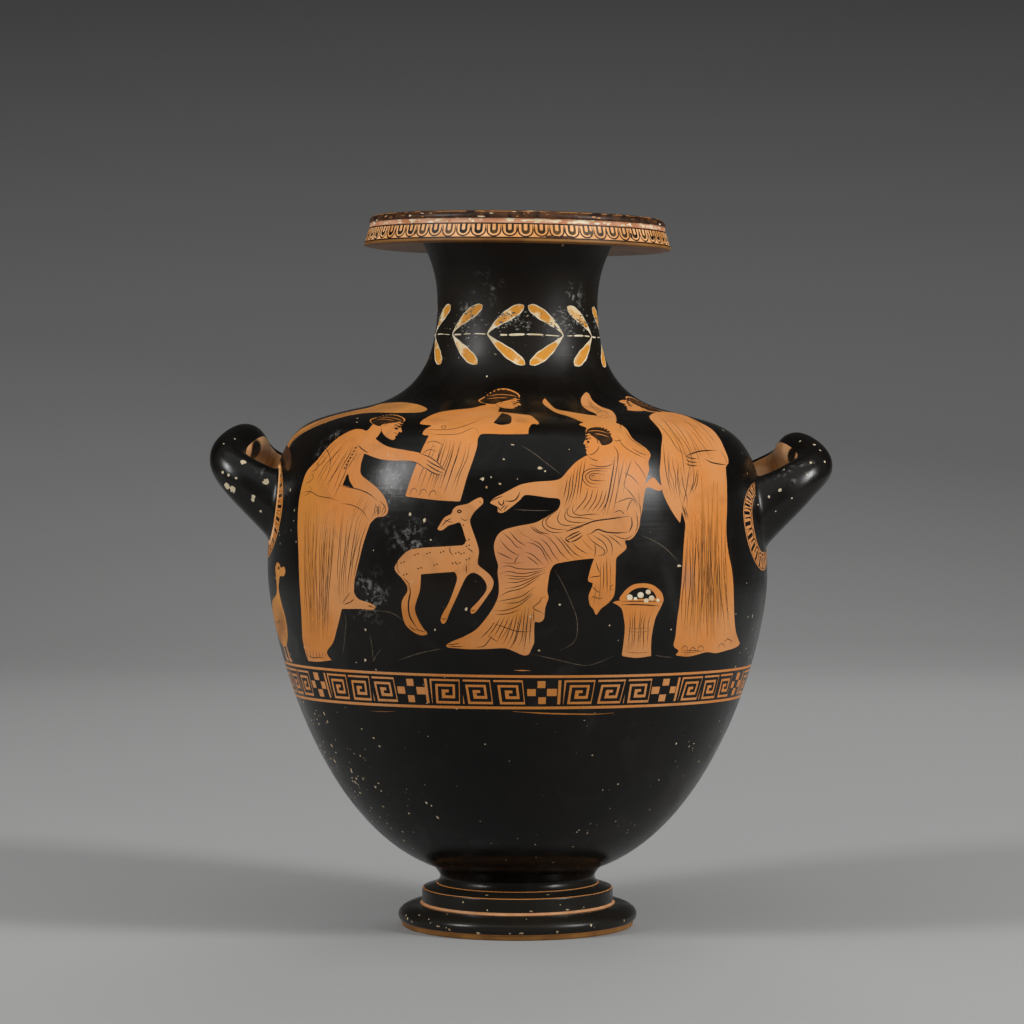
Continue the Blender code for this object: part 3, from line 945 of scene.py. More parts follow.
def stroke(canvas, path, width, paint, taper=0.25, closed=False):
    """A brush line of true width along wall places, thinner at its ends unless it is closed."""
    flat = np.array(path, dtype=float)
    radius = np.interp(flat[:, 1], canvas.along, canvas.profile[:, 0])
    if closed:
        tangent = np.roll(flat, -1, axis=0) - np.roll(flat, 1, axis=0)
    else:
        tangent = np.gradient(flat, axis=0)
    tangent[:, 0] *= radius
    tangent /= np.maximum(np.linalg.norm(tangent, axis=1), 1e-9)[:, None]
    half = np.full(len(flat), width / 2)
    if not closed:
        t = np.linspace(0.0, 1.0, len(flat))
        half *= np.clip(np.minimum(t, 1.0 - t) / taper, 0.25, 1.0)
    side = np.stack([-tangent[:, 1] / radius, tangent[:, 0]], axis=1) * half[:, None]
    if closed:
        flat = np.concatenate([flat, flat[:1]])
        side = np.concatenate([side, side[:1]])
    canvas.patch(np.concatenate([flat + side, (flat - side)[::-1]]), paint)


def area(canvas, points, paint="clay"):
    """A patch of paint with a smooth outline through seen places."""
    canvas.patch(on_wall(canvas, evenly(smooth(points, closed=True), 1.6)), paint)


def line(canvas, points, width=0.5, paint="line", taper=0.25):
    """A brush line through seen places, its width in millimetres."""
    path = evenly(smooth(points), 1.8)
    stroke(canvas, on_wall(canvas, path), width * LINE_GAIN * MM, paint, taper)


def folds(canvas, first, last, count, width=0.5, paint="line", sway=0.5, seed=0.0):
    """Drapery lines spread between two guides, each a little uneven and of its own length."""
    ends = [np.array(smooth(guide)) for guide in (first, last)]
    t = np.linspace(0.0, 1.0, 26)
    guides = []
    for path in ends:
        lengths = np.concatenate([[0.0], np.cumsum(np.hypot(*np.diff(path, axis=0).T))])
        at = t * lengths[-1]
        guides.append(np.stack([np.interp(at, lengths, path[:, k]) for k in range(2)], axis=1))
    for index in range(count):
        share = (index + 0.5 + 0.28 * math.sin(seed + 2.3 * index)) / count
        path = guides[0] * (1 - share) + guides[1] * share
        slow = np.sin(seed + 1.7 * index + 6.0 * t)
        quick = np.sin(seed + 2.9 * index + 15.0 * t)
        path[:, 0] += sway * (slow + 0.4 * quick)
        start = 0.045 * (1 + math.sin(seed * 2 + 5.1 * index))
        stop = 1 - 0.05 * (1 + math.sin(seed + 3.3 * index))
        kept = path[(t >= start) & (t <= stop)]
        weight = width * LINE_GAIN * MM * (0.86 + 0.2 * math.sin(index * 4.1))
        stroke(canvas, on_wall(canvas, kept), weight, paint, 0.30)


def oval(centre, across, up, steps=20):
    """An oval outline. Across and up are half its width and half its height."""
    angles = np.linspace(0.0, math.tau, steps, endpoint=False)
    return np.stack([centre[0] + across * np.cos(angles), centre[1] + up * np.sin(angles)], axis=1)


def dots(canvas, places, size):
    """Small round dots at seen places."""
    for place in places:
        canvas.patch(on_wall(canvas, oval(place, size, size, steps=8)), "line")


EGG_LINE = 0.0009


def egg(canvas, place, across, up, size, core="black", middle=0.11, fill=0.26, bare="clay"):
    """One egg of an egg moulding: an outline, a dark egg and a bare middle, open at the top.

    Across and up are unit steps on the canvas. Middle and fill are half widths as shares of the
    egg's width, and a middle of 0 leaves the dark egg whole.
    """
    width, height = size
    sides = np.linspace(0.0, math.pi, 13)

    def cup(half, depth):
        drop = depth - half * 0.9
        x = -half * np.cos(sides)
        y = -(drop + half * 0.9 * np.sin(sides))
        points = np.stack([x, y], axis=1)
        points = np.concatenate([[[-half, 0.0]], points, [[half, 0.0]]])
        return place + points[:, :1] * across + points[:, 1:] * up

    stroke(canvas, cup(width * 0.45, height * 0.96), EGG_LINE, "line", taper=0.01)
    canvas.patch(cup(width * fill, height * 0.78), core)
    if middle:
        canvas.patch(cup(width * middle, height * 0.50), bare)


LIP_EGGS = 62
COLLAR_EGGS = 23

# Cream patches left on the lip's rosy fillet: degrees round from the front and half width in mm
LIP_PATCHES = (
    (-74, 1.6), (-61, 1.4), (-44, 1.0), (-29, 0.8), (-17, 1.0), (-4, 2.2), (4, 2.4), (8, 3.0),
    (12, 2.4), (16, 2.6), (22, 2.2), (27, 2.6), (36, 1.2), (48, 1.4), (57, 1.8), (62, 2.4), (67, 2.4),
    (72, 2.0), (130, 2.0), (-140, 2.0),
)


def paint_lip(lip):
    """Egg moulding on the band, a rosy fillet above it, and a bare edge and underside in clay darkened as
    painted shade.
    """
    level = lip.profile[:, 1]
    edge = MOUTH_LEVEL - LIP_DROP
    band_low = edge + LIP_EDGE_HEIGHT
    band_high = band_low + LIP_BAND_HEIGHT
    outer = lip.profile[:, 0] > LIP_RADIUS - LIP_BAND_LEAN * 1.5

    def run_at(height):
        picks = np.where(outer & (level <= height))[0]
        last = picks[-1]
        share = (height - level[last]) / (level[last + 1] - level[last])
        return lip.along[last] + share * (lip.along[last + 1] - lip.along[last])

    low, high = run_at(band_low), run_at(band_high)
    corner = lip.along[np.where(outer)[0][0]]
    # The underside and the hanging edge take clay darkened as painted shade
    lip.ring(0.0, corner, "shaded_clay")
    lip.ring(corner, low, "shaded_clay")
    lip.ring(low, high, "lip")
    lip.ring(low - 0.0001, low + 0.0008, "line")
    lip.ring(high - 0.0010, high - 0.0001, "line")
    lip.ring(high - 0.0001, high + 0.0028, "rosy")
    pitch = math.tau / LIP_EGGS
    across = np.array([1 / LIP_RADIUS, 0.0])
    up = np.array([0.0, 1.0])
    for index in range(LIP_EGGS):
        angle = -math.pi + (index + 0.5) * pitch
        width = pitch * LIP_RADIUS * (1 + 0.04 * math.sin(index * 2.1))
        height = (high - low - 0.0018) * (1 + 0.03 * math.sin(index * 3.7))
        place = np.array([angle, high - 0.0009])
        worn = abs(angle - 0.25) < 0.5 or math.sin(index * 2.7) > 0.4
        egg(lip, place, across, up, (width, height), "olive" if worn else "black", bare="lip")
    random = np.random.default_rng(5)
    for _ in range(90):
        size = random.uniform(0.0004, 0.0013)
        places = (random.uniform(-3.1, 3.1), high + random.uniform(0.0002, 0.0027))
        speck(lip, random, places, (size * 2.2, size * 0.6), "white")
    for turn, reach in LIP_PATCHES:
        for _ in range(3):
            angle = math.radians(turn + random.uniform(-1.5, 1.5))
            places = (angle, high + random.uniform(0.0008, 0.0022))
            speck(lip, random, places, (reach * MM, random.uniform(0.0004, 0.0009)), "white", 9)
    for turn in (11.6, 14.0, 16.6, 19.0):
        speck(lip, random, (math.radians(turn), low + 0.0011), (0.0028, 0.0012), "bead", 9)
    for turn in (-66, -41, 28, 47, 63):
        speck(lip, random, (math.radians(turn), low + 0.0040), (0.0011, 0.0022), "olive", 9)
    top = run_at(BRIM_LEVEL - 0.0016)
    lip.ring(high + 0.0029, top + 0.0070, "bead")
    # Some bits of bare clay on the bead take the clay darkened as painted shade
    for _ in range(150):
        size = random.uniform(0.0003, 0.0011)
        places = (random.uniform(-3.1, 3.1), random.uniform(high + 0.0032, top + 0.0040))
        paint = ("shaded_clay", "white", "clay", "shaded_clay")[random.integers(4)]
        speck(lip, random, places, (size * random.uniform(1.0, 3.0), size * 0.5), paint)
    lip.ring(top + 0.0012, top + 0.0019, "clay")
    for _ in range(60):
        size = random.uniform(0.0006, 0.0020)
        places = (random.uniform(-3.1, 3.1), top + random.uniform(0.0012, 0.0019))
        speck(lip, random, places, (size * 2.5, 0.0005), "bead")


def speck(canvas, random, place, size, paint, steps=7):
    """A small ragged patch. Size is half its width and half its height in metres."""
    angles = np.linspace(0.0, math.tau, steps, endpoint=False) + random.uniform(0.0, 1.0)
    reach = random.uniform(0.55, 1.2, steps)
    radius = np.interp(place[1], canvas.along, canvas.profile[:, 0])
    x = place[0] + np.cos(angles) * reach * size[0] / radius
    canvas.patch(np.stack([x, place[1] + np.sin(angles) * reach * size[1]], axis=1), paint)


# Chips on the foot: degrees round from the front, height, and half width and height in mm
FOOT_CHIPS = (
    (-69, 9.0, 0.7, 1.1), (-66, 7.6, 1.0, 1.0), (-61, 6.5, 0.8, 0.7), (-57, 11.0, 1.4, 0.5),
    (-34, 5.2, 0.8, 1.0), (-41, 6.6, 0.6, 0.8), (-19, 4.4, 1.5, 1.1), (-3.6, 4.8, 0.9, 0.6),
    (1.6, 4.8, 1.5, 0.8), (19, 5.2, 0.7, 0.8), (37, 7.6, 0.9, 0.8), (-34, 20.4, 0.6, 0.7),
    (-18, 16.4, 0.5, 0.7), (8, 16.2, 0.9, 0.4), (31, 16.0, 1.4, 0.4), (43, 16.5, 0.6, 0.4),
    (26, 19.4, 0.4, 0.4), (62, 7.0, 0.6, 0.8), (-20, 25.0, 1.0, 0.4), (20, 25.2, 1.0, 0.4),
)


def paint_foot(foot):
    """A bare resting edge and hollow underside in clay darkened as painted shade, a groove above the
    rounded moulding in its own pale clay lightened further as painted light, and thin lines at the steps.
    """
    radius = foot.profile[:, 0]
    level = foot.profile[:, 1]
    rest = np.where(level < 0.0001)[0][-1]
    bare = 0.0034

    def run_out(height):
        return np.interp(height, level[rest:], foot.along[rest:])

    # The hollow underside and the resting edge take clay darkened as painted shade
    foot.ring(0.0, foot.along[rest], "shaded_clay")
    foot.ring(foot.along[rest] - 0.0004, run_out(bare), "shaded_clay")
    foot.ring(run_out(bare) - 0.0003, run_out(bare) + 0.0002, "clay")
    inner = foot.along[np.where(radius > FOOT_STEP_RADIUS + 0.0002)[0][-1]]
    # The groove's clay is its own pale tone, lightened further as painted light against its shade
    foot.ring(inner - 0.0011, inner + 0.0013, "groove")
    step = run_out(FOOT_HEIGHT - FOOT_STEP_DROP)
    foot.ring(step - 0.0001, step + 0.0005, "clay")
    junction = run_out(FOOT_HEIGHT)
    foot.ring(junction - 0.0004, junction + 0.0003, "clay")
    random = np.random.default_rng(11)
    for turn, height, across, up in FOOT_CHIPS:
        place = (math.radians(turn), run_out(height * MM))
        speck(foot, random, place, (across * MM, up * MM), "chip", 9)
    for _ in range(24):
        place = (random.uniform(-3.1, 3.1), random.uniform(run_out(0.005), run_out(0.025)))
        size = random.uniform(0.0002, 0.0006)
        speck(foot, random, place, (size, size), "chip")


# Key band: its edges sit a little higher at the front than at the sides
BAND_TOP = (0.1647, 0.0019, 0.0008)
BAND_BOTTOM = (0.1434, 0.0028, 0.0012)
BAND_LINE = 0.0017
BAND_GAP = 0.0014
PERIODS = 12
PERIOD_PHASE = math.radians(5.6)
PERIOD_WARP = math.radians(3.4)
CHECKER_SHARE = 0.24


def band_patch(canvas, flat, paint):
    """A patch of the key band, cut at the back seam and carried on past it.

    Each place is in periods round the jar and in shares of the height from bottom to top.
    """
    angle = math.tau * flat[:, 0] / PERIODS
    angle = angle + PERIOD_WARP * np.sin(angle) + PERIOD_PHASE
    levels = []
    for base, front, right in (BAND_BOTTOM, BAND_TOP):
        levels.append(canvas.run(base + front * np.cos(angle) + right * np.sin(angle)))
    run = levels[0] * (1 - flat[:, 1]) + levels[1] * flat[:, 1]
    for lap in (0.0, math.tau):
        turned = np.clip(angle - lap, -math.pi, math.pi)
        if np.ptp(turned) > 1e-6:
            canvas.patch(np.stack([turned, run], axis=1), paint)


def band_area(canvas, turns, shares, paint):
    """A four-cornered patch of the band."""
    count = 4
    (left, right), (low, high) = turns, shares
    corners = [(left, low), (right, low), (right, high), (left, high)]
    points = []
    for start, end in zip(corners, corners[1:] + corners[:1]):
        for k in range(count):
            points.append([start[i] + (end[i] - start[i]) * k / count for i in range(2)])
    band_patch(canvas, np.array(points), paint)


def edge_ring(canvas, levels, low, high, paint):
    """A band that follows one edge of the key band, offset by low and high."""
    angles = np.linspace(-math.pi, math.pi, 97)
    base, front, right = levels
    run = canvas.run(base + front * np.cos(angles) + right * np.sin(angles))
    sides = [np.stack([angles, run + offset], axis=1) for offset in (low, high)]
    canvas.patch(np.concatenate([sides[0], sides[1][::-1]]), paint)


# One key in the unit square, from its foot round to its end
KEY_SPIRAL = (
    (0.10, 0.00), (0.10, 0.86), (0.86, 0.86), (0.86, 0.16), (0.30, 0.16), (0.30, 0.64), (0.66, 0.64),
    (0.66, 0.40), (0.48, 0.40),
)
KEY_STROKE = 0.125


def square_stroke(points, width):
    """The outline of a square-cornered brush line of a given width, in the unit square."""
    path = np.array(points, dtype=float)
    left, right = [], []
    for index, place in enumerate(path):
        before = path[max(index - 1, 0)]
        after = path[min(index + 1, len(path) - 1)]
        entry = place - before if index else after - place
        leave = after - place if index < len(path) - 1 else entry
        entry = entry / np.linalg.norm(entry)
        leave = leave / np.linalg.norm(leave)
        side = np.array([-entry[1], entry[0]])
        other = np.array([-leave[1], leave[0]])
        corner = (side + other) / max(1.0 + side.dot(other), 0.2)
        left.append(place + corner * width / 2)
        right.append(place - corner * width / 2)
    return np.array(left + right[::-1])


def paint_band(canvas):
    """Three keys between checkers, twelve times round, between two bare lines."""
    edge_ring(canvas, BAND_TOP, -BAND_LINE, 0.0, "clay")
    edge_ring(canvas, BAND_TOP, -BAND_LINE * 1.08, -BAND_LINE * 0.92, "line")
    edge_ring(canvas, BAND_BOTTOM, 0.0, BAND_LINE, "clay")
    height = BAND_TOP[0] - BAND_BOTTOM[0]
    low = (BAND_LINE + BAND_GAP) / height
    high = 1.0 - low
    for period in range(PERIODS):
        start = period - CHECKER_SHARE / 2
        cell = CHECKER_SHARE / 3
        band_area(canvas, (start, start + CHECKER_SHARE), (low, high), "black")
        third = (high - low) / 3
        for column, row in ((1, 2), (0, 1), (2, 1), (1, 0)):
            wobble = 0.005 * math.sin(period * 3.1 + column * 2 + row)
            inset = 0.10 + 0.06 * math.sin(period * 2.3 + column + row * 3)
            left = start + cell * (column + inset) + wobble
            right = start + cell * (column + 1 - inset) + wobble
            shares = (low + third * (row + 0.05), low + third * (row + 0.97 - inset / 2))
            band_area(canvas, (left, right), shares, "clay")
        first = start + CHECKER_SHARE
        last = period + 1 - CHECKER_SHARE / 2
        band_area(canvas, (first, last), (low, high), "clay")
        margin = 0.022
        band_area(canvas, (first + margin, first + margin * 2), (low, high), "black")
        step = (last - first - margin * 2) / 3
        for key in range(3):
            lean = 0.10 * math.sin(period * 1.9 + key * 1.3 + 0.6)
            place = first + margin * 2 + step * key
            paint_key(canvas, place, place + step, lean, low, high)
    # Stray strokes of the brush beside the band
    line(canvas, [(-92, 133.2), (-84, 132.8), (-76, 133.0)], 0.4, "wash", 0.4)
    line(canvas, [(-3, 132.9), (20, 131.6), (48, 131.2), (60, 132.0)], 0.8, "deep", 0.3)
    line(canvas, [(-2, 158.6), (8, 158.4)], 0.6, "clay", 0.4)


def paint_key(canvas, start, end, lean, low, high):
    """A key squeezed between two heights of the band."""
    outline = square_stroke(KEY_SPIRAL, KEY_STROKE)
    dense = []
    for a, b in zip(outline, np.roll(outline, -1, axis=0)):
        dense += [a + (b - a) * k / 3 for k in range(3)]
    bar = np.array([(0.95, 0.0), (1.05, 0.0), (1.05, 1.0), (0.95, 1.0)])
    for flat in (np.array(dense), bar):
        turns = start + (end - start) * (flat[:, 0] + lean * (flat[:, 1] - 0.5))
        band_patch(canvas, np.stack([turns, low + (high - low) * flat[:, 1]], axis=1), "black")


# Wreath round the neck: pairs of leaves that spring from a broken stem and point to the front
WREATH_LEVEL = 0.3668
WREATH_FRONT = math.radians(6.0)
LEAF_NODES = (27.0, 57.0, 87.0, 117.0, 147.0)
LEAF_SWEEP = math.radians(25.5)
LEAF_RISE = 0.0178
LEAF_DROP = 0.0192
LEAF_WIDTH = 0.0064


def paint_leaf(canvas, angle, sweep, rise, seed):
    """One leaf from its thin stalk to its blunt tip, golden over white and partly worn off."""
    t = np.linspace(0.0, 1.0, 18)
    run = canvas.run(WREATH_LEVEL) + rise * t ** (0.80 if rise > 0 else 0.95)
    turn = angle + sweep * t ** (1.10 if rise > 0 else 1.0)
    path = np.stack([turn, run], axis=1)
    swell = 3.1 * t**1.3 * (1 - t) ** 0.58
    radius = np.interp(path[:, 1], canvas.along, canvas.profile[:, 0])
    tangent = np.gradient(path, axis=0)
    tangent[:, 0] *= radius
    tangent /= np.linalg.norm(tangent, axis=1)[:, None]
    ragged = 1 + 0.05 * np.sin(t * 23 + seed * 2.1)
    coats = ((LEAF_WIDTH, "white", 0.00035, slice(None)), (LEAF_WIDTH * 0.86, "leaf", 0.0, slice(4, 18)))
    for width, paint, extra, keep in coats:
        half = width / 2 * swell * ragged + extra
        side = np.stack([-tangent[:, 1] / radius, tangent[:, 0]], axis=1) * half[:, None]
        outline = np.concatenate([(path + side)[keep], (path - side)[keep][::-1]])
        canvas.patch(outline, paint)


# Dashes left of the stem: first and last degree round from the front, and width in mm
STEM_DASHES = (
    (-89, -79, 1.5), (-74, -62, 0.7), (-61, -54, 0.5), (-49, -42, 0.9), (-40, -34, 0.5),
    (-31, -22, 0.6), (-12, -7, 1.1), (-6, 5, 1.4), (6, 18, 1.0), (19, 30, 0.6), (36, 41, 0.6),
    (42, 52, 1.1), (53, 60, 0.8), (62, 70, 1.0), (74, 84, 0.7), (92, 106, 1.0), (112, 124, 0.7),
    (140, 160, 1.0), (-104, -96, 1.0), (-130, -114, 0.8),
)
# Hazy sprays on the neck: degrees round, height over the stem in mm, and spread
WORN_SPRAYS = (
    (-40, 6, 9), (-35, 12, 5), (-8, 9, 9), (4, 8, 8), (26, 9, 8), (33, 12, 6), (40, 6, 8), (-76, 10, 6),
    (52, 10, 7), (75, 8, 6),
)


def paint_wreath(canvas):
    """The leaves, what is left of the stem, and pale wear round them."""
    stem = canvas.run(WREATH_LEVEL)
    for side in (-1.0, 1.0):
        for index, node in enumerate(LEAF_NODES):
            angle = WREATH_FRONT + side * math.radians(node)
            for rise in (LEAF_RISE, -LEAF_DROP):
                paint_leaf(canvas, angle, -side * LEAF_SWEEP, rise, index + side + rise * 99)
    for first, last, width in STEM_DASHES:
        ends = np.radians(np.linspace(first, last, 8))
        path = np.stack([ends, stem + 0.0003 * np.sin(ends * 9)], axis=1)
        stroke(canvas, path, width * MM, "white", 0.1)
    random = np.random.default_rng(3)
    for turn, rise, spread in WORN_SPRAYS:
        for _ in range(34):
            angle = math.radians(random.normal(turn, spread * 0.55))
            run = stem + MM * (rise + random.normal(0.0, 3.0))
            size = random.uniform(0.0002, 0.0007)
            speck(canvas, random, (angle, run), (size * random.uniform(0.8, 2.4), size), "haze")
    for _ in range(70):
        angle = math.radians(random.uniform(-85, 85))
        run = stem + MM * random.uniform(-16, 14)
        size = random.uniform(0.0001, 0.0004)
        speck(canvas, random, (angle, run), (size, size), "white")


# Egg mouldings at the handle roots: degrees round from the front, height, half width and height
# of the inner and the outer edge, and how much of its height the upper half keeps
COLLARS = (
    (76.0, 0.2585, (0.0212, 0.0225), (0.0362, 0.0335), 0.62),
    (-84.0, 0.2600, (0.0190, 0.0190), (0.0412, 0.0325), 0.85),
)


def paint_collar(canvas, centre, level, inner, outer, top):
    """Egg moulding round a handle's root, between two bare lines. Its upper side is flatter."""
    middle = np.array([centre, canvas.run(level)])
    scale = np.array([1 / canvas.radius(level), 1.0])
    angles = np.linspace(0.0, math.tau, 90, endpoint=False)

    def place_at(size, angle):
        x = np.cos(angle) * size[0]
        y = np.sin(angle) * size[1]
        return middle + np.stack([x, np.where(y > 0, y * top, y)], axis=-1) * scale

    def size_at(share):
        return [inner[k] * (1 - share) + outer[k] * share for k in range(2)]

    canvas.patch(place_at(outer, angles), "clay")
    stroke(canvas, place_at(size_at(0.91), angles), 0.0006, "line", closed=True)
    stroke(canvas, place_at(size_at(0.10), angles), 0.0005, "line", closed=True)
    canvas.patch(place_at(inner, angles), "black")
    pitch = math.tau / COLLAR_EGGS
    for index in range(COLLAR_EGGS):
        angle = pitch * index
        low = place_at(size_at(0.12), angle)
        high = place_at(size_at(0.88), angle)
        after = place_at(size_at(0.5), angle + pitch)
        inward = (low - high) / scale
        height = np.linalg.norm(inward)
        inward /= height
        across = np.array([-inward[1], inward[0]])
        width = np.linalg.norm((after - place_at(size_at(0.5), angle)) / scale) * 0.98
        size = (width, height)
        egg(canvas, high, across * scale, -inward * scale, size, middle=0.0, fill=0.17)


def paint_left_woman(body):
    """Leaning forward, wrapped in a cloak, one foot raised on a rock and one arm stretched out."""
    area(body, [
        (-103, 308.5), (-112, 303.5), (-119, 297), (-125, 289.5), (-131, 283), (-134, 275),
        (-136.3, 263), (-137, 248), (-136.5, 232), (-136, 215), (-134.8, 195), (-134, 178), (-132, 169),
        (-130.5, 164.5), (-130.5, 164.5), (-124, 164), (-116, 165), (-116, 165), (-119, 170),
        (-115, 176), (-113, 183), (-109.5, 197), (-109.5, 197), (-98, 197), (-90.5, 196.4),
        (-88.4, 198.4), (-93, 201), (-99, 203), (-102, 207), (-102, 207), (-101.5, 215), (-99, 226),
        (-96, 238), (-92, 250), (-92, 250), (-88, 254), (-82.5, 255), (-80.5, 259), (-82.5, 266),
        (-87, 272), (-93, 277), (-97.5, 281), (-97.5, 287), (-95.5, 294), (-95.5, 294), (-86, 290.5),
        (-77, 289.5), (-65, 289), (-55, 283), (-47, 281), (-45, 283), (-51, 290), (-60, 294),
        (-70, 296), (-80, 298), (-86.5, 301.5), (-92, 306.5), (-97, 309),
    ])
    area(body, [
        (-109, 274.2), (-109, 274.2), (-105.7, 281.5), (-104.6, 277), (-101.8, 272.4), (-101.8, 272.4),
    ], "black")
    folds(
        body, [(-133, 270), (-134, 235), (-132, 200), (-130.5, 169)],
        [(-112, 260), (-115, 232), (-117, 205), (-119, 174)], 12, 0.42, "line", 0.4, 1.0,
    )
    folds(
        body, [(-130, 262), (-131, 235), (-130, 200), (-129, 172)],
        [(-115, 255), (-118, 228), (-120, 200), (-121, 178)], 7, 0.4, "wash", 0.6, 4.0,
    )
    folds(
        body, [(-110, 262), (-112, 238), (-113, 212), (-111, 196)],
        [(-92, 254), (-97, 238), (-101, 222), (-103, 209)], 9, 0.5, "line", 0.4, 2.0,
    )
    folds(
        body, [(-107, 306), (-117, 298), (-126, 288), (-132, 277)],
        [(-100, 298), (-105, 287), (-110, 275), (-116, 262)], 9, 0.42, "line", 0.5, 3.0,
    )
    line(body, [(-99.5, 299.5), (-97, 296.8), (-93, 294.3)], 0.6)
    line(body, [(-111.5, 274.2), (-104, 272.6), (-98, 271.2), (-92, 268.5), (-87.5, 264.5)], 0.6)
    folds(
        body, [(-88, 264), (-90, 257), (-91, 252)], [(-83, 262), (-84, 258), (-84, 256)], 5, 0.4,
        "line", 0.4, 5.0,
    )
    folds(
        body, [(-96, 271), (-101, 262), (-106, 252)], [(-90, 266), (-95, 256), (-99, 245)], 4, 0.35,
        "wash", 0.4, 2.5,
    )
    folds(
        body, [(-94, 200.5), (-91, 199.5), (-89.5, 198.8)], [(-94, 198), (-91, 197.6), (-89.5, 197.2)],
        2, 0.35, "line", 0.05, 1.0,
    )


# A plain head in side view, looking to the right, in shares of its size
FACE = (
    (0.28, 0.36), (0.34, 0.22), (0.345, 0.12), (0.36, 0.05), (0.43, -0.08), (0.43, -0.12),
    (0.365, -0.145), (0.38, -0.20), (0.355, -0.235), (0.375, -0.27), (0.335, -0.32), (0.35, -0.40),
    (0.30, -0.47), (0.18, -0.48), (0.0, -0.38), (-0.10, -0.22), (-0.18, -0.05), (-0.05, 0.30),
)
HAIR = (
    (0.30, 0.34), (0.24, 0.44), (0.10, 0.51), (-0.10, 0.53), (-0.30, 0.46), (-0.45, 0.30),
    (-0.53, 0.08), (-0.58, -0.10), (-0.48, -0.20), (-0.32, -0.24), (-0.17, -0.22), (-0.10, -0.08),
    (0.02, 0.04), (0.12, 0.14), (0.20, 0.24), (0.27, 0.29),
)
NECK = (
    (-0.02, -0.30), (0.02, -0.46), (0.06, -0.72), (0.0, -0.9), (-0.40, -0.9), (-0.34, -0.55),
    (-0.34, -0.10),
)
FACE_LINES = (
    ((0.15, 0.055), (0.22, 0.085), (0.295, 0.06)), ((0.17, 0.045), (0.23, 0.03), (0.28, 0.045)),
    ((0.14, 0.15), (0.22, 0.18), (0.31, 0.155)), ((0.27, -0.235), (0.31, -0.225), (0.36, -0.235)),
    ((0.34, -0.125), (0.33, -0.10)), ((-0.10, -0.22), (0.0, -0.38), (0.16, -0.475), (0.28, -0.47)),
    ((-0.12, -0.02), (-0.04, 0.0), (-0.04, -0.12), (-0.10, -0.16)),
)
FILLETS = (
    ((-0.50, 0.14), (-0.24, 0.30), (0.06, 0.36), (0.26, 0.35)),
    ((-0.46, 0.02), (-0.20, 0.16), (0.04, 0.22)),
)


# Heads: seen place, size in mm, tilt, squash, the side they look to, slope, and if with a neck
HEADS = (
    ((-80.5, 312.4), 22.0, -0.55, 0.60, 1, 0.0, True),
    ((-8.5, 326.2), 26.0, -0.30, 0.40, 1, 0.0, True),
    ((49.0, 302.8), 18.0, 0.12, 0.95, -1, 0.0, True),
    ((76.5, 322.8), 23.0, 0.25, 0.28, -1, -0.27, False),
)


def paint_head(body, centre, size, tilt, squash, side, slope, neck):
    """A plain head in side view at a seen place. Side is 1 if it looks to the right, or else -1.

    The head is laid on the wall by the wall's slope at its middle, so that it isn't drawn out
    where the shoulder flattens. The neck follows the seen places.
    """
    x, z = centre
    middle, left, right, low, high = on_wall(body, [(x, z), (x - 1, z), (x + 1, z), (x, z - 1), (x, z + 1)])
    slopes = np.stack([right - left, high - low]) / 2

    def seen(points, closed=True):
        flat = smooth(points, closed) * size
        x = flat[:, 0] * side
        across = x * math.cos(tilt) - flat[:, 1] * math.sin(tilt)
        rise = (x * math.sin(tilt) + flat[:, 1] * math.cos(tilt)) * squash + across * slope
        return np.stack([across, rise], axis=1)

    def lay(points, closed=True):
        return middle + seen(points, closed) @ slopes

    if neck:
        body.patch(on_wall(body, seen(NECK) + centre), "clay")
    body.patch(lay(FACE), "clay")
    body.patch(lay([(x * 1.08, y * 1.08 + 0.01) for x, y in HAIR]), "clay")
    body.patch(lay(HAIR), "hair")
    for k in range(13):
        turn = -0.5 + k * 0.30
        centre = np.array([-0.10 + 0.43 * math.cos(turn), 0.12 + 0.38 * math.sin(turn)])
        curl = [centre + 0.045 * np.array([math.cos(v), math.sin(v)]) for v in range(6)]
        body.patch(lay(curl), "line")
    for points in FILLETS:
        stroke(body, lay(points, False), 0.0006, "clay")
    for points in FACE_LINES:
        stroke(body, lay(points, False), 0.00045, "line")


def paint_heads(body):
    """The four women's heads, from the left: leaning, half figure, seated and standing."""
    for head in HEADS:
        paint_head(body, *head)


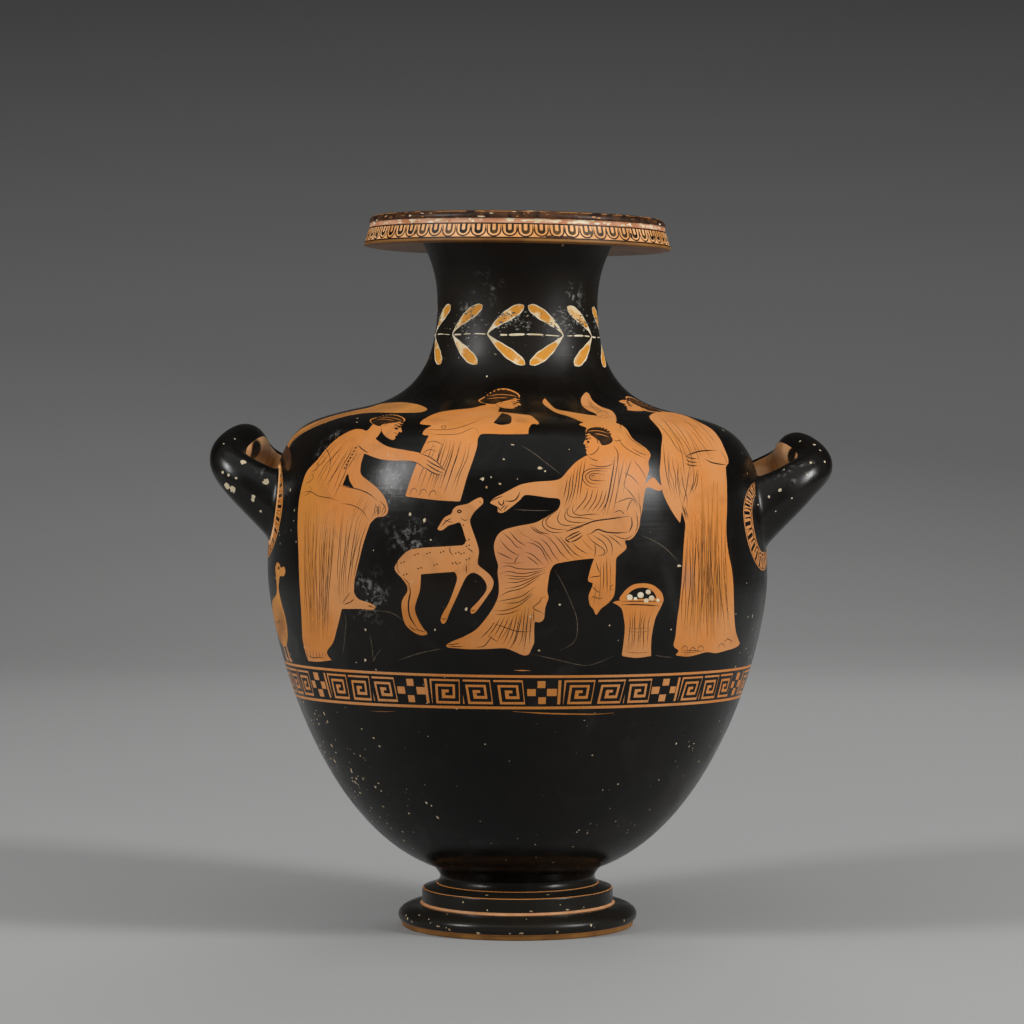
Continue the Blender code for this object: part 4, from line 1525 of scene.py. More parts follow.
def dress_left_woman(body):
    """Hems, belt, border and foot of the leaning woman."""
    folds(
        body, [(-134.6, 255), (-135, 230), (-133.6, 200), (-132, 176)],
        [(-124, 255), (-125.6, 230), (-126, 200), (-125, 172)], 3, 1.2, "deep", 0.4, 0.3,
    )
    folds(
        body, [(-133, 268), (-133.6, 238), (-132.2, 204), (-131, 172)],
        [(-122, 262), (-124, 235), (-125, 205), (-124, 170)], 5, 0.42, "wash", 0.4, 1.0,
    )
    folds(
        body, [(-121, 262), (-122, 232), (-123, 205), (-122, 172)],
        [(-112, 262), (-114, 232), (-117, 204), (-118.6, 176)], 5, 0.42, "line", 0.4, 2.0,
    )
    for x, z in ((-127, 285), (-130, 278), (-123, 289), (-131.6, 270)):
        line(body, [(x - 1.6, z - 2.6), (x + 1.2, z - 1.2), (x + 3.2, z + 1.6), (x + 1.6, z + 3.4)], 0.4)
    line(body, [(-135.6, 268), (-130, 270.4), (-124, 267.4), (-116, 266), (-111, 264)], 0.4)
    line(body, [(-122, 300), (-118, 295), (-116.4, 288), (-118.6, 280)], 0.4)
    for step in range(7):
        x = -100.6 - step * 1.15
        z = 297.4 - step * 2.1
        line(body, [(x - 1.0, z - 0.3), (x + 0.9, z + 0.5)], 0.75)
        line(body, [(x - 0.2, z + 0.9), (x + 0.1, z - 0.8)], 0.5)
    line(body, [(-99.4, 296.6), (-102.4, 290), (-106.8, 283.6)], 0.4)
    line(body, [(-102.4, 298.8), (-105.4, 292), (-109.6, 286)], 0.4)
    for index in range(9):
        x = -131.4 + index * 1.9
        line(body, [(x, 171.4 - 0.3 * index), (x + 0.3, 168), (x + 0.9, 165.4 + 0.15 * index)], 0.45)
    line(body, [(-131.6, 168.4), (-127.6, 166.4), (-123, 166.8), (-119.6, 165.6)], 0.45)
    for index in range(3):
        line(
            body,
            [(-92.6 + index * 1.1, 199.0 - index * 0.5), (-90.6 + index * 0.7, 198.0 - index * 0.3)],
            0.35,
        )
    line(body, [(-108.6, 199.8), (-105, 200.8), (-101.6, 203.2)], 0.5)
    line(body, [(-112.4, 184), (-110, 192), (-109.6, 197)], 0.5)
    line(body, [(-104, 207.6), (-107, 203.6), (-109.4, 200)], 0.45)
    line(body, [(-110.4, 262.6), (-104, 262), (-97, 258.4), (-92.6, 252)], 0.4)
    line(body, [(-61, 294), (-55, 291.8), (-50, 288.4), (-45.4, 283.8)], 0.6)
    line(body, [(-57, 290.2), (-52, 287), (-46.6, 284.4), (-45, 283)], 0.7)
    line(body, [(-57, 287.6), (-52.6, 284.6), (-48.4, 282.4), (-46.6, 281.8)], 0.7)
    line(body, [(-58, 285.6), (-54, 282.6), (-50, 280.8), (-48, 280.6)], 0.7)
    line(body, [(-66, 289.4), (-61, 287.2), (-57.4, 284)], 0.5)
    line(body, [(-86, 264.4), (-82.6, 261), (-82.4, 257.4), (-85, 255.4)], 0.5)
    line(body, [(-88.6, 262), (-86.4, 258.6), (-87, 255.4)], 0.5)


def paint_middle_woman(body):
    """Cut off by the ground line, her cloak thrown back and her arms held forward."""
    area(body, [
        (-60.8, 312.5), (-57, 316), (-50, 319.2), (-40, 321), (-28, 322.2), (-20, 324), (-14, 322),
        (-16, 320.6), (-9, 319.6), (-3, 319), (3, 318.2), (8, 317.6), (11.5, 315), (13.6, 312.4),
        (9, 312.2), (7, 309), (6.8, 306), (6.8, 306), (-8, 305.9), (-22.5, 306), (-24.8, 303),
        (-24.8, 303), (-25.2, 298), (-28, 289), (-31.5, 279), (-34, 270), (-35.8, 264), (-35.8, 264),
        (-50, 264.8), (-70, 267.2), (-70, 267.2), (-66.5, 278), (-62.5, 288.5), (-59, 297.5),
        (-55, 305.3), (-55, 305.3), (-59, 305.5), (-58, 308.5), (-53, 311.4), (-53, 311.4),
    ])
    area(body, [
        (-15, 313), (-15, 313), (-9.6, 319.2), (-9.6, 319.2), (-4, 317.2), (-4, 312.6), (-4, 312.6),
        (-10, 311.6),
    ], "black")
    folds(
        body, [(-54, 304), (-59, 290), (-64, 278), (-67, 269)],
        [(-27, 303), (-28.5, 292), (-33, 280), (-37, 267)], 8, 0.45, "line", 0.3, 1.2,
    )
    folds(
        body, [(-47, 305), (-52, 290), (-58, 270)], [(-33, 305), (-37, 290), (-44, 269)], 4, 0.6,
        "line", 0.2, 2.2,
    )
    for x, z in ((-66, 269), (-60, 268.4), (-54, 267.6)):
        line(body, [(x - 1.4, z - 1.2), (x, z + 2.4), (x + 2.6, z + 3.4), (x + 3.2, z + 0.4)], 0.4)
    line(body, [(-58, 300), (-52, 301.6), (-46, 299)], 0.4)
    line(body, [(-60, 293), (-55, 296.4), (-50, 295)], 0.4)
    line(body, [(-59, 309.5), (-50, 308.6), (-38, 309.6), (-28, 313), (-20, 317)], 0.5)
    line(body, [(-56, 306.4), (-46, 305.6), (-36, 306.4), (-27, 310), (-24, 306)], 0.4)
    folds(
        body, [(-56, 312), (-45, 314), (-32, 316)], [(-50, 318), (-40, 319), (-30, 320)], 3, 0.35,
        "wash", 0.3, 0.5,
    )
    folds(
        body, [(-3, 313), (2, 313), (7, 312)], [(-3, 317), (3, 316), (10, 315)], 4, 0.45, "line", 0.2,
        0.5,
    )
    stroke(body, on_wall(body, oval((-46, 310.5), 1.3, 0.9, steps=14)), 0.0004, "line", closed=True)


def paint_fawn(body):
    """A spotted fawn looking back over its shoulder at the seated woman's hand."""
    area(body, [
        (-23, 266.6), (-27, 265), (-31, 262.6), (-38, 261), (-40.5, 258.5), (-41, 256.3), (-45.5, 254),
        (-49, 248.5), (-50, 246.5), (-47, 246), (-43, 249), (-39.5, 250), (-36, 251), (-34.5, 248),
        (-33, 243), (-32.2, 240), (-33.5, 237), (-38, 236.4), (-48, 235.8), (-60, 235), (-67.5, 233.6),
        (-73, 229), (-76.6, 223), (-76, 220.5), (-72, 216), (-69.2, 212), (-68.6, 208), (-72, 202),
        (-72, 195), (-70, 187.5), (-65, 182.6), (-60, 180.5), (-56, 181.4), (-58.5, 184.5),
        (-62, 190.5), (-64, 197), (-62.6, 203), (-61, 208), (-60.4, 213), (-60.2, 218.6),
        (-60.2, 218.6), (-50, 219.4), (-39, 220.2), (-39, 220.2), (-37.6, 216), (-40, 208),
        (-43, 200.5), (-46.6, 194), (-48, 190), (-46.6, 187.4), (-44.6, 189), (-42, 195.5), (-38, 204),
        (-34.5, 212), (-31.5, 217.4), (-28, 219.6), (-24, 218.2), (-20.4, 214.6), (-19, 210),
        (-21, 206), (-25.5, 200.6), (-29, 197), (-29, 194), (-26.6, 194.6), (-23, 199), (-18.4, 205.5),
        (-15.6, 210), (-15, 214.5), (-18, 219), (-24.4, 224.4), (-24.6, 228), (-24, 233), (-25.5, 239),
        (-28, 246), (-29.6, 252), (-27.6, 256.5), (-25, 259.4), (-21.6, 262.6), (-21.4, 265.4),
    ])
    spots = (
        (-63, 231), (-55.5, 231.8), (-47, 232.6), (-37.5, 232), (-34.2, 231.6), (-31, 228),
        (-51, 224.6), (-39.6, 225.6), (-36.8, 225.4), (-61, 222.4), (-70, 218.4), (-31, 236.4),
        (-71.6, 226), (-31.2, 240), (-34.6, 249),
    )
    for x, z in spots:
        dots(body, [(x - 0.9, z - 0.3), (x + 0.9, z + 0.3)], 0.5)
    line(body, [(-41.5, 236), (-42.4, 233), (-40, 230.5)], 0.5)
    line(body, [(-31.5, 235), (-29, 233.5), (-27.5, 232)], 0.5)
    line(body, [(-31.6, 224.5), (-32, 221.5), (-31.4, 219)], 0.5)
    line(body, [(-69, 212), (-66.8, 208), (-68, 200), (-67, 192), (-62, 184)], 0.9)
    line(body, [(-72, 217), (-68, 213), (-66.5, 208)], 0.4)
    line(body, [(-74.5, 227), (-75, 222), (-73, 219)], 0.4)
    line(body, [(-46, 252.6), (-42.5, 251.4), (-40, 250.8)], 0.4)
    line(body, [(-47.5, 248.4), (-44, 252), (-41, 253.6)], 0.5)
    line(body, [(-35.5, 254), (-33, 252), (-30.8, 253)], 0.4)
    line(body, [(-63.6, 184.4), (-61, 183.4), (-57.6, 182.6)], 0.45)
    line(body, [(-67.4, 186.6), (-65.4, 184.6), (-63.2, 183.4)], 0.45)
    line(body, [(-47.4, 191.2), (-45.6, 190.4), (-44.2, 191.2)], 0.45)
    line(body, [(-29, 196.4), (-27.6, 195.6), (-26.2, 196.6)], 0.45)
    body.patch(on_wall(body, oval((-36.2, 257.8), 1.5, 1.2)), "line")
    body.patch(on_wall(body, oval((-36.2, 257.8), 0.6, 0.5, steps=8)), "clay")
    line(body, [(-24, 263.8), (-22.6, 263.2)], 0.4)


# Lines on the seated woman's dress, cloak and rock, then heavier and paler ones
SEATED_LINES = (
    ((43, 293), (46, 290.6), (51, 289), (57, 288.6), (60.4, 289.6)),
    ((44.4, 287.4), (50, 285.8), (56, 286), (60.2, 288)),
    ((58, 284.4), (50, 284.6), (44, 284), (40.6, 281), (41, 277), (44.6, 273.6), (50, 272.6)),
    ((56, 282.8), (50, 283.2), (45.4, 282.6), (42.4, 280), (43.2, 277.2), (46, 275.2), (52, 274.8)),
    ((54, 280.8), (49, 281.4), (45.6, 281), (44.6, 279.2), (46, 277.4), (50, 277), (55, 277)),
    ((48.8, 279.6), (47.2, 280.4), (46, 279.6), (46.8, 278.6)),
    ((42.4, 291), (41.4, 284), (40, 276), (38.8, 266)),
    ((40.4, 290), (38.8, 282), (38, 274), (36.6, 265)), ((38, 287), (37, 280), (36, 273), (33.6, 263)),
    ((36, 285), (34.6, 278), (34, 271), (31.4, 262)),
    ((34, 282), (32.6, 276), (31.6, 268), (29.4, 261)), ((31, 278), (30, 272), (28.6, 266)),
    ((44, 272.6), (42.4, 266), (37.4, 259.6), (35, 256.6)), ((47, 271.6), (45.2, 265), (40, 258)),
    ((50, 271), (48.2, 264.4), (43.4, 257.6)), ((53, 271), (51, 264), (46.6, 258)),
    ((55.4, 271), (53.6, 264), (49.6, 258)), ((57.4, 270), (55.6, 263.4), (52, 257.4)),
    ((63.4, 294), (61.4, 282), (58.8, 268), (55.4, 255.4)),
    ((66.4, 290), (64, 279), (61.8, 268), (59.8, 258)), ((71, 290), (68.4, 282), (66, 274)),
    ((24.6, 257.6), (19.6, 254.6), (17.6, 251), (19.8, 248), (25, 246.6), (31, 246.4)),
    ((19, 255), (16, 252.4), (15.4, 249.8), (18, 246.4), (23, 244.6), (29, 245)),
    ((27, 258.4), (25, 254), (26, 250.6), (30, 249), (36, 249.4)),
    ((31, 260), (29.4, 255), (30.6, 252.4), (35, 251), (43, 251)),
    ((33, 262), (30.8, 257.4), (32.8, 254.6), (38, 254), (44, 253.4), (49, 252)),
    ((35, 262.4), (34.4, 257.6), (38, 255.4), (45, 256), (51, 256)),
    ((5, 238.4), (10, 237.6), (15, 234), (17, 230), (20, 225)),
    ((8, 240.4), (14, 237.4), (18, 231.6), (22, 226)),
    ((14, 241.4), (19, 236.8), (22, 231.6), (26, 226.4)),
    ((18, 242.6), (23, 237.8), (27, 232), (32, 227.4)),
    ((22, 243.6), (27, 239), (31, 233.4), (36, 228)),
    ((26, 242.6), (31, 236.6), (36, 231.4), (41, 229)), ((34, 238.4), (38, 234.6), (44, 231)),
    ((5, 232.4), (9, 231), (13, 227.6), (16, 224.6)), ((6, 229.6), (10, 227), (13, 224.4)),
    ((-11, 240.4), (-6, 234.4), (-1, 231.2), (1.4, 230.6)),
    ((-9, 244.4), (-4, 240), (-1, 236.2), (3, 234.6)), ((-5, 245.4), (0, 239.6), (5.4, 236.2)),
    ((-13, 232.6), (-8, 230.2), (-3, 227.8)), ((0.6, 230.4), (-1, 227.6), (-2.4, 225)),
    ((8, 249), (11, 245.6), (16, 243.4)), ((9.8, 248.6), (14, 245), (20, 243.8)),
    ((-11, 221.6), (-9, 223.4), (-5, 223.8), (0, 222.2), (8, 221.8), (15, 222.2), (18.6, 223.6)),
    ((-10.6, 219), (-6, 220.4), (2, 219), (10, 220), (17, 221.6)),
    ((-9, 218.2), (-2, 217.4), (6, 217.2), (12, 219.4), (17.6, 221)), ((-6, 216), (0, 215.6), (6, 216)),
    ((-7, 213.4), (0, 213.6), (8, 216), (14, 219.2)),
    ((-8, 209.6), (0, 211), (7, 214), (14, 218.2), (18, 219.8)),
    ((-12, 204), (-6, 207.6), (2, 209.6), (8, 213), (14, 217)),
    ((-13, 201.6), (-5, 203), (3, 205), (8, 208.6), (11, 210.4)),
    ((-9, 200.6), (0, 201), (6, 204.4), (10, 208.4)),
    ((-15, 195.8), (-8, 196), (0, 198.6), (6, 203), (10, 206.6)), ((-14, 193.4), (-6, 194), (1, 196.4)),
    ((5, 198), (4, 190), (3, 180), (1, 174)), ((3, 196), (1.6, 188), (-1, 178), (-4, 172.6)),
    ((0, 194.6), (-1.6, 187), (-3.6, 180), (-6.4, 174.4)),
    ((-2.4, 193), (-4.4, 186), (-7.4, 178), (-9, 175)),
    ((-5, 192.6), (-7.4, 187), (-11, 180), (-13, 176)), ((-8, 192), (-11, 186), (-14.4, 180)),
    ((-11, 191), (-14, 185.6), (-18, 180)), ((7, 198), (6, 188), (5, 178), (4, 171)),
    ((8.8, 194), (8, 185), (7.4, 175)), ((1.6, 193), (0, 185), (-2, 177), (-5, 172)),
    ((-14, 189), (-18, 183.6), (-23, 178.6)),
    ((-16, 188), (-10, 186.2), (-5, 184.4), (1, 182.8), (9, 183)),
    ((-26, 173), (-21, 173.6), (-18, 177), (-15.6, 180.6)),
    ((-18.6, 180.2), (-16, 178.8), (-13, 176.6)),
    ((18, 204.6), (15, 204), (14, 201.4), (9.8, 198.2), (9.6, 197.2), (15, 194.8), (17, 193.4)),
    ((10.2, 196), (10.2, 189)), ((49, 226), (50, 222.4), (51.4, 219.4)),
    ((45, 216.4), (48, 217.2), (51.2, 217.4), (52, 219)), ((55.6, 229), (55.8, 218), (56, 207)),
    ((53.6, 226), (53.8, 216), (53.2, 208)), ((46.6, 211), (49, 208.6), (51.8, 206.8)),
    ((60, 212.4), (57.8, 210.6), (58, 208.6), (60, 209.2)),
    ((46, 203), (47, 204.8), (49, 204), (51, 203.4), (53.4, 204)),
    ((43.6, 242.6), (47, 239), (52, 235.6), (54.6, 233), (53, 230.6), (49, 230)),
    ((47, 243), (54, 238), (56, 233), (54, 230)), ((50, 244.6), (56, 241), (59, 236), (58.6, 230)),
    ((56, 243.4), (62, 239), (65.6, 235.4)), ((60, 243), (67, 240.6), (72, 243)),
    ((48.2, 238), (48.6, 233), (48, 229.4)), ((73.2, 244), (75, 250), (73.8, 258)),
    ((76, 249), (77, 256), (76, 264)), ((61, 263), (66, 265), (71, 266), (75, 261)),
    ((67, 273), (71, 268.6), (75.4, 262.4)), ((68, 258), (70, 263), (72, 266)),
    ((66, 282), (71, 279.6), (76, 274)), ((60, 257), (64, 258.4), (67, 255.6)),
    ((72, 290), (77, 284), (80.6, 277)), ((-17, 264), (-12, 266.4), (-9, 267.4)),
    ((-12.6, 261), (-11, 259), (-9.6, 257.8)), ((-8.6, 258), (-7.4, 260.2), (-5.6, 261.6)),
    ((-10.6, 258.6), (-9, 260.6), (-7.4, 262)), ((-44, 174.6), (-40, 174.8), (-36, 175.6)),
    ((-43, 173.6), (-38, 173.4), (-34, 173.6)), ((66.6, 309), (70, 303.6), (75.4, 299.4), (80, 296)),
    ((62, 305), (66, 298.6), (73, 294), (80, 290.8)), ((71.4, 297.4), (75.6, 294.6), (80.4, 292.8)),
    ((60.6, 316.2), (63.6, 312.6), (64.6, 308.6)), ((60, 299), (62.6, 294), (62, 288)),
    ((49, 318.4), (51.6, 320.4), (55, 320), (57, 317.4)), ((51, 316.4), (53.6, 318), (56, 316.8)),
    ((57.6, 303.6), (62, 301.6), (65, 302.6)),
)
SEATED_THICK = (
    ((60.8, 292), (59, 280), (56.6, 267), (53.4, 256)),
    ((33, 247.6), (40, 249), (48, 251.8), (58, 253.2), (70, 255)),
    ((43, 243), (46.4, 244.4), (50, 246.6), (55, 245), (62, 244.4), (69.4, 245)),
    ((30, 245.2), (35, 247), (41, 248.6)), ((30, 241), (34.6, 243.8), (39, 245.6)),
    ((31, 239.8), (36, 242.4), (40, 244.6)), ((33, 238.6), (37, 240.2), (40.8, 243)),
    ((29.8, 241.4), (30.4, 239.8), (33, 238.4)), ((69.4, 245), (71.4, 249), (71, 254.4)),
    ((-12, 264.6), (-10.8, 261.8), (-8.8, 262), (-8.6, 265.2)),
    ((-8, 264.4), (-3, 264.2), (0, 266.4), (1.6, 270.2)),
)
SEATED_THIN = (
    ((68, 288), (67, 276), (65.6, 268)), ((63, 288), (63, 276), (62, 268)),
    ((75, 272), (76, 264), (75.6, 257)), ((-10, 226), (-4, 225.4), (4, 226)),
    ((10, 247), (17, 243), (22, 240)), ((0, 247), (4, 243), (9, 241)),
    ((51.4, 229), (51.8, 214), (50.6, 200)), ((57.8, 228), (58, 216), (57.4, 204)),
    ((48.8, 213), (48.6, 207), (47.8, 200)), ((40, 241), (44, 236), (48, 233)),
    ((-3, 191), (-7, 183), (-11, 177)), ((6, 190), (4.6, 182), (3, 174)),
)


def paint_seated_woman(body):
    """Seated to the left on a rock, her hand held out, with a tall leafy headdress."""
    area(body, [
        (-17, 263.2), (-14, 266.4), (-10, 268.4), (-5, 271), (2, 274.5), (11, 276.2), (22, 277),
        (27, 278.4), (32, 284), (37, 289), (43, 292.6), (47, 294), (49, 299), (48, 306), (42, 310.4),
        (38, 312), (43, 313.4), (56, 314), (64, 312), (68, 309), (71.5, 303.4), (76.5, 299.6),
        (80.6, 296.6), (83, 293), (81.6, 288.6), (82.6, 283), (86, 278), (90.5, 272.2), (88, 270.6),
        (82, 273), (79.8, 272.4), (79.8, 272.4), (78.4, 264), (77.2, 255), (75.8, 248), (73, 242.6),
        (70, 240), (66.8, 239.6), (68, 235), (64, 231), (61.6, 228.4), (61.2, 218), (60.4, 206),
        (57, 201), (52, 197), (49, 193), (47.6, 196.4), (45.2, 199.4), (44.4, 205), (46.2, 210),
        (47, 213), (44, 214.4), (45, 220), (46.8, 226), (48, 228.6), (48, 228.6), (38, 227.6),
        (28, 226), (23, 224.6), (20.4, 220.5), (19.2, 214), (18.6, 208), (19.4, 204), (17.4, 198),
        (16.6, 191), (14, 188.6), (10.6, 189.2), (10.6, 189.2), (10.4, 182), (10.4, 176), (9, 172.6),
        (7, 168.6), (3.6, 168), (-2, 170.4), (-8, 172.4), (-18, 172), (-30, 171.8), (-38, 172.4),
        (-44, 173), (-44.4, 174.6), (-40, 177), (-34, 179.4), (-26, 184), (-20, 190.6), (-15, 198),
        (-12, 205), (-11.6, 212), (-12.4, 220), (-12, 224), (-14, 231), (-14.6, 237), (-12.4, 243),
        (-8, 246.4), (0, 248.6), (11, 250.8), (18, 254.4), (24.6, 258.4), (26.6, 262), (26, 265.6),
        (19, 266.4), (11, 267.6), (4.6, 268), (1.6, 265), (-4, 260.4), (-9, 257), (-12.2, 257.4),
        (-12.4, 260.6),
    ])
    area(body, [
        (79.6, 275), (81.2, 281), (83, 286.6), (84, 291.4), (88.6, 288), (88.8, 279), (89, 274.4),
        (85, 279), (81.6, 277),
    ], "black")
    area(body, [
        (17, 328.2), (15.6, 325.6), (19, 322.4), (24, 319.4), (33, 316.6), (42, 312.8), (50, 310),
        (56, 312), (56, 316.4), (44, 318), (32, 320), (24, 321.6), (19.6, 325.4),
    ])
    area(body, [
        (42.6, 332), (39.6, 328.2), (40.4, 323.6), (44.4, 320.6), (49, 318.4), (52, 314), (60, 311.6),
        (61.6, 316), (58.6, 320.6), (52, 323), (46.6, 327), (44.6, 331),
    ])
    folds(
        body, [(18, 325), (30, 318.4), (46, 314)], [(19, 323.6), (30, 317.6), (46, 313)], 2, 0.35,
        "wash", 0.2, 1.0,
    )
    folds(
        body, [(42, 328), (45, 323), (54, 317)], [(44, 329), (48, 324), (57, 319)], 3, 0.45, "line",
        0.2, 1.0,
    )
    line(body, [(48, 317.6), (53, 316), (59, 317)], 0.6)
    for points in SEATED_LINES:
        line(body, points, 0.46)
    for points in SEATED_THICK:
        line(body, points, 0.75)
    for points in SEATED_THIN:
        line(body, points, 0.42, "wash")
    area(body, [
        (6, 265.6), (4, 261.6), (8, 259.4), (16, 259.6), (24, 260.8), (25, 264), (18, 265),
    ], "black")


def paint_basket(body):
    """A tall wicker basket with a hooped handle, filled with white balls."""
    area(body, [
        (64, 202), (66.4, 207.6), (71.6, 211.8), (78, 213), (84.6, 211.8), (89.6, 207.6), (91.4, 203),
        (91.4, 203),
    ])
    area(body, [
        (68, 203.4), (70.4, 207.6), (75, 210), (81, 210), (85, 207.4), (87, 203.6), (87, 203.6),
    ], "black")
    area(body, [
        (59.4, 201), (59.4, 201), (62, 202), (74, 202.2), (91.4, 203), (91.4, 203), (89.6, 198.4),
        (86.4, 192), (84.4, 184), (83.4, 176), (83.4, 167.6), (83.4, 167.6), (74, 166.4), (65, 167.6),
        (65, 167.6), (66.2, 176), (67, 185), (66.2, 192), (64.6, 197.6),
    ])
    line(body, [(64.6, 201.6), (76, 201.8), (90.4, 201.6)], 0.5)
    line(body, [(65, 199.6), (76, 199.6), (88.6, 198.8)], 0.7)
    folds(
        body, [(68, 198), (69, 188), (68, 170)], [(85.6, 197.6), (82, 188), (81.4, 170)], 7, 0.5,
        "line", 0.2, 0.6,
    )
    for level in (183, 185.2, 170):
        line(body, [(68, level), (75, level - 0.5), (82.4, level)], 0.4, "wash")
    balls = (
        (70, 204.3, 1.9), (76.8, 205.6, 2.0), (81.6, 207.6, 1.6), (83.6, 203.8, 1.7),
        (80.4, 202.2, 1.5), (87.6, 202.4, 1.1), (73.6, 203.4, 1.1),
    )
    for x, z, size in balls:
        body.patch(on_wall(body, oval((x, z), size, size * 0.95, steps=14)), "white")


# Lines on the standing woman's cloak
SHAWL_LINES = (
    ((84.6, 315.6), (90, 310), (95, 304), (99, 297.6), (104.4, 292.8)),
    ((88, 318), (94, 311), (99, 304), (104, 298)), ((107, 285), (106, 277), (104.6, 268), (103, 262)),
    ((110, 284.6), (109.6, 276), (107, 268)), ((112.6, 284), (112, 276), (110, 270)),
    ((104, 317), (112, 313), (119, 306), (124.6, 298)),
    ((97, 318.4), (107, 312.4), (114, 304), (118.6, 297.4)),
    ((92, 316.6), (100, 310), (105.4, 302), (108.4, 295.6)), ((126, 296), (129, 292), (130.6, 288)),
    ((91, 300), (91.6, 290), (93, 280), (96, 268)),
)


def paint_right_woman(body):
    """Standing, wrapped to the chin in a cloak, one hand at her breast."""
    area(body, [
        (82, 317), (85, 313), (88.4, 309), (90.2, 304.6), (89.6, 298), (89.2, 290), (88.6, 283),
        (89.4, 276), (90.4, 270), (93.4, 263), (97.4, 256), (101.4, 250.4), (101.4, 250.4),
        (102.4, 258), (102.4, 258), (104.6, 250), (104.2, 244), (103.6, 236), (103, 225), (102.2, 212),
        (101, 200), (99.6, 190), (98.6, 180), (97.4, 173.6), (100.6, 171), (98.4, 168), (98.4, 168),
        (106, 167.2), (112, 168.4), (118, 170), (124, 169.4), (130, 171), (135, 172.4), (138.6, 174.8),
        (138, 177.4), (136.4, 182), (135.4, 190), (135, 200), (134.6, 212), (133.6, 222), (131.4, 233),
        (130.2, 245), (130.6, 262), (130.4, 276), (129.8, 285.6), (131.4, 288), (131, 291.6),
        (128.4, 298), (126, 303), (121, 309), (112, 314), (104, 317.6), (95, 319.6), (87, 319.6),
    ])
    area(body, [
        (63, 326.4), (68, 327.2), (76, 324.6), (86, 321.2), (96, 319), (88, 319.2), (79, 320.6),
        (71, 323.4),
    ])
    folds(
        body, [(104, 246), (103.6, 225), (101.6, 200), (100.4, 176)],
        [(116, 262), (116, 235), (116, 205), (114, 172)], 7, 0.55, "line", 0.6, 1.2,
    )
    folds(
        body, [(112, 284), (114, 262), (113, 225), (110, 176)],
        [(126, 280), (125, 250), (123, 215), (124, 174)], 6, 2.2, "deep", 0.5, 2.1,
    )
    folds(
        body, [(113, 262), (114, 240), (113, 214), (112, 186)],
        [(124, 258), (123, 238), (122, 214), (121, 186)], 7, 0.9, "wash", 0.5, 0.7,
    )
    folds(
        body, [(106, 262), (108, 225), (107, 175)], [(130, 262), (130, 225), (132, 178)], 12, 0.42,
        "line", 0.5, 1.4,
    )
    for x, z in ((104, 171.6), (109, 170.6), (114, 171.6), (127, 173), (131, 176)):
        line(body, [(x - 1.8, z - 1.0), (x - 0.6, z + 2.2), (x + 1.6, z + 2.0), (x + 2.2, z - 0.6)], 0.42)
    line(body, [(134, 262), (132.6, 240), (135, 215), (137, 190), (135, 178)], 0.4)
    folds(
        body, [(117, 245), (118, 220), (117, 175)], [(130, 245), (131, 215), (135, 179)], 8, 0.5,
        "line", 0.6, 0.3,
    )
    folds(
        body, [(88, 314), (97, 302), (102, 288), (103, 268)],
        [(106, 315), (116, 306), (124, 297), (128, 296)], 7, 0.42, "line", 0.5, 0.7,
    )
    folds(
        body, [(92, 300), (93, 285), (96, 266)], [(103, 286), (104, 274), (107, 258)], 6, 0.45, "line",
        0.6, 1.6,
    )
    line(body, [(104.6, 292), (108, 293.6), (114, 295.4), (124, 296)], 0.8)
    line(body, [(116.6, 290.4), (122, 288), (130, 286.8)], 0.8)
    for rise in (0.0, 2.3, 4.6):
        line(body, [(104.8, 292.4 - rise), (108, 290.9 - rise), (112, 290.6 - rise * 0.9)], 0.65)
    line(body, [(112, 284), (110.6, 276), (108.6, 271), (110, 269.6)], 0.5)
    folds(
        body, [(104, 262), (106, 258), (108, 254)], [(102, 264), (103, 257), (105, 250)], 3, 0.6,
        "line", 0.2, 0.9,
    )
    for points in SHAWL_LINES:
        line(body, points, 0.5)
    line(body, [(127.6, 176), (131, 178), (134.6, 176.4), (132, 173.6)], 0.45, "wash")
    folds(
        body, [(99.4, 171.6), (106, 172), (118, 171.6)], [(100, 169), (108, 169), (118, 170.8)], 2, 0.4,
        "line", 0.3, 0.9,
    )


def paint_sash(body):
    """A long strip with a dark line along it that hangs over the shoulder at the left."""
    area(body, [
        (-144.6, 296), (-141, 303), (-134, 309.6), (-121, 315.4), (-106, 319.6), (-92, 322.6),
        (-84, 325), (-72, 325.8), (-62, 324.4), (-56, 321.6), (-60, 319.6), (-75, 319.2), (-90, 319.4),
        (-105, 317.6), (-120, 313), (-133, 307), (-140.6, 300.6), (-144, 293),
    ], "sash")
    line(body, [(-142, 300), (-133, 308), (-120, 314.2), (-106, 318.5), (-97, 320)], 0.6, "black", 0.1)
    area(body, [(-146.4, 297), (-143.4, 299), (-140.8, 292), (-141.6, 285), (-143.6, 283)], "bead")


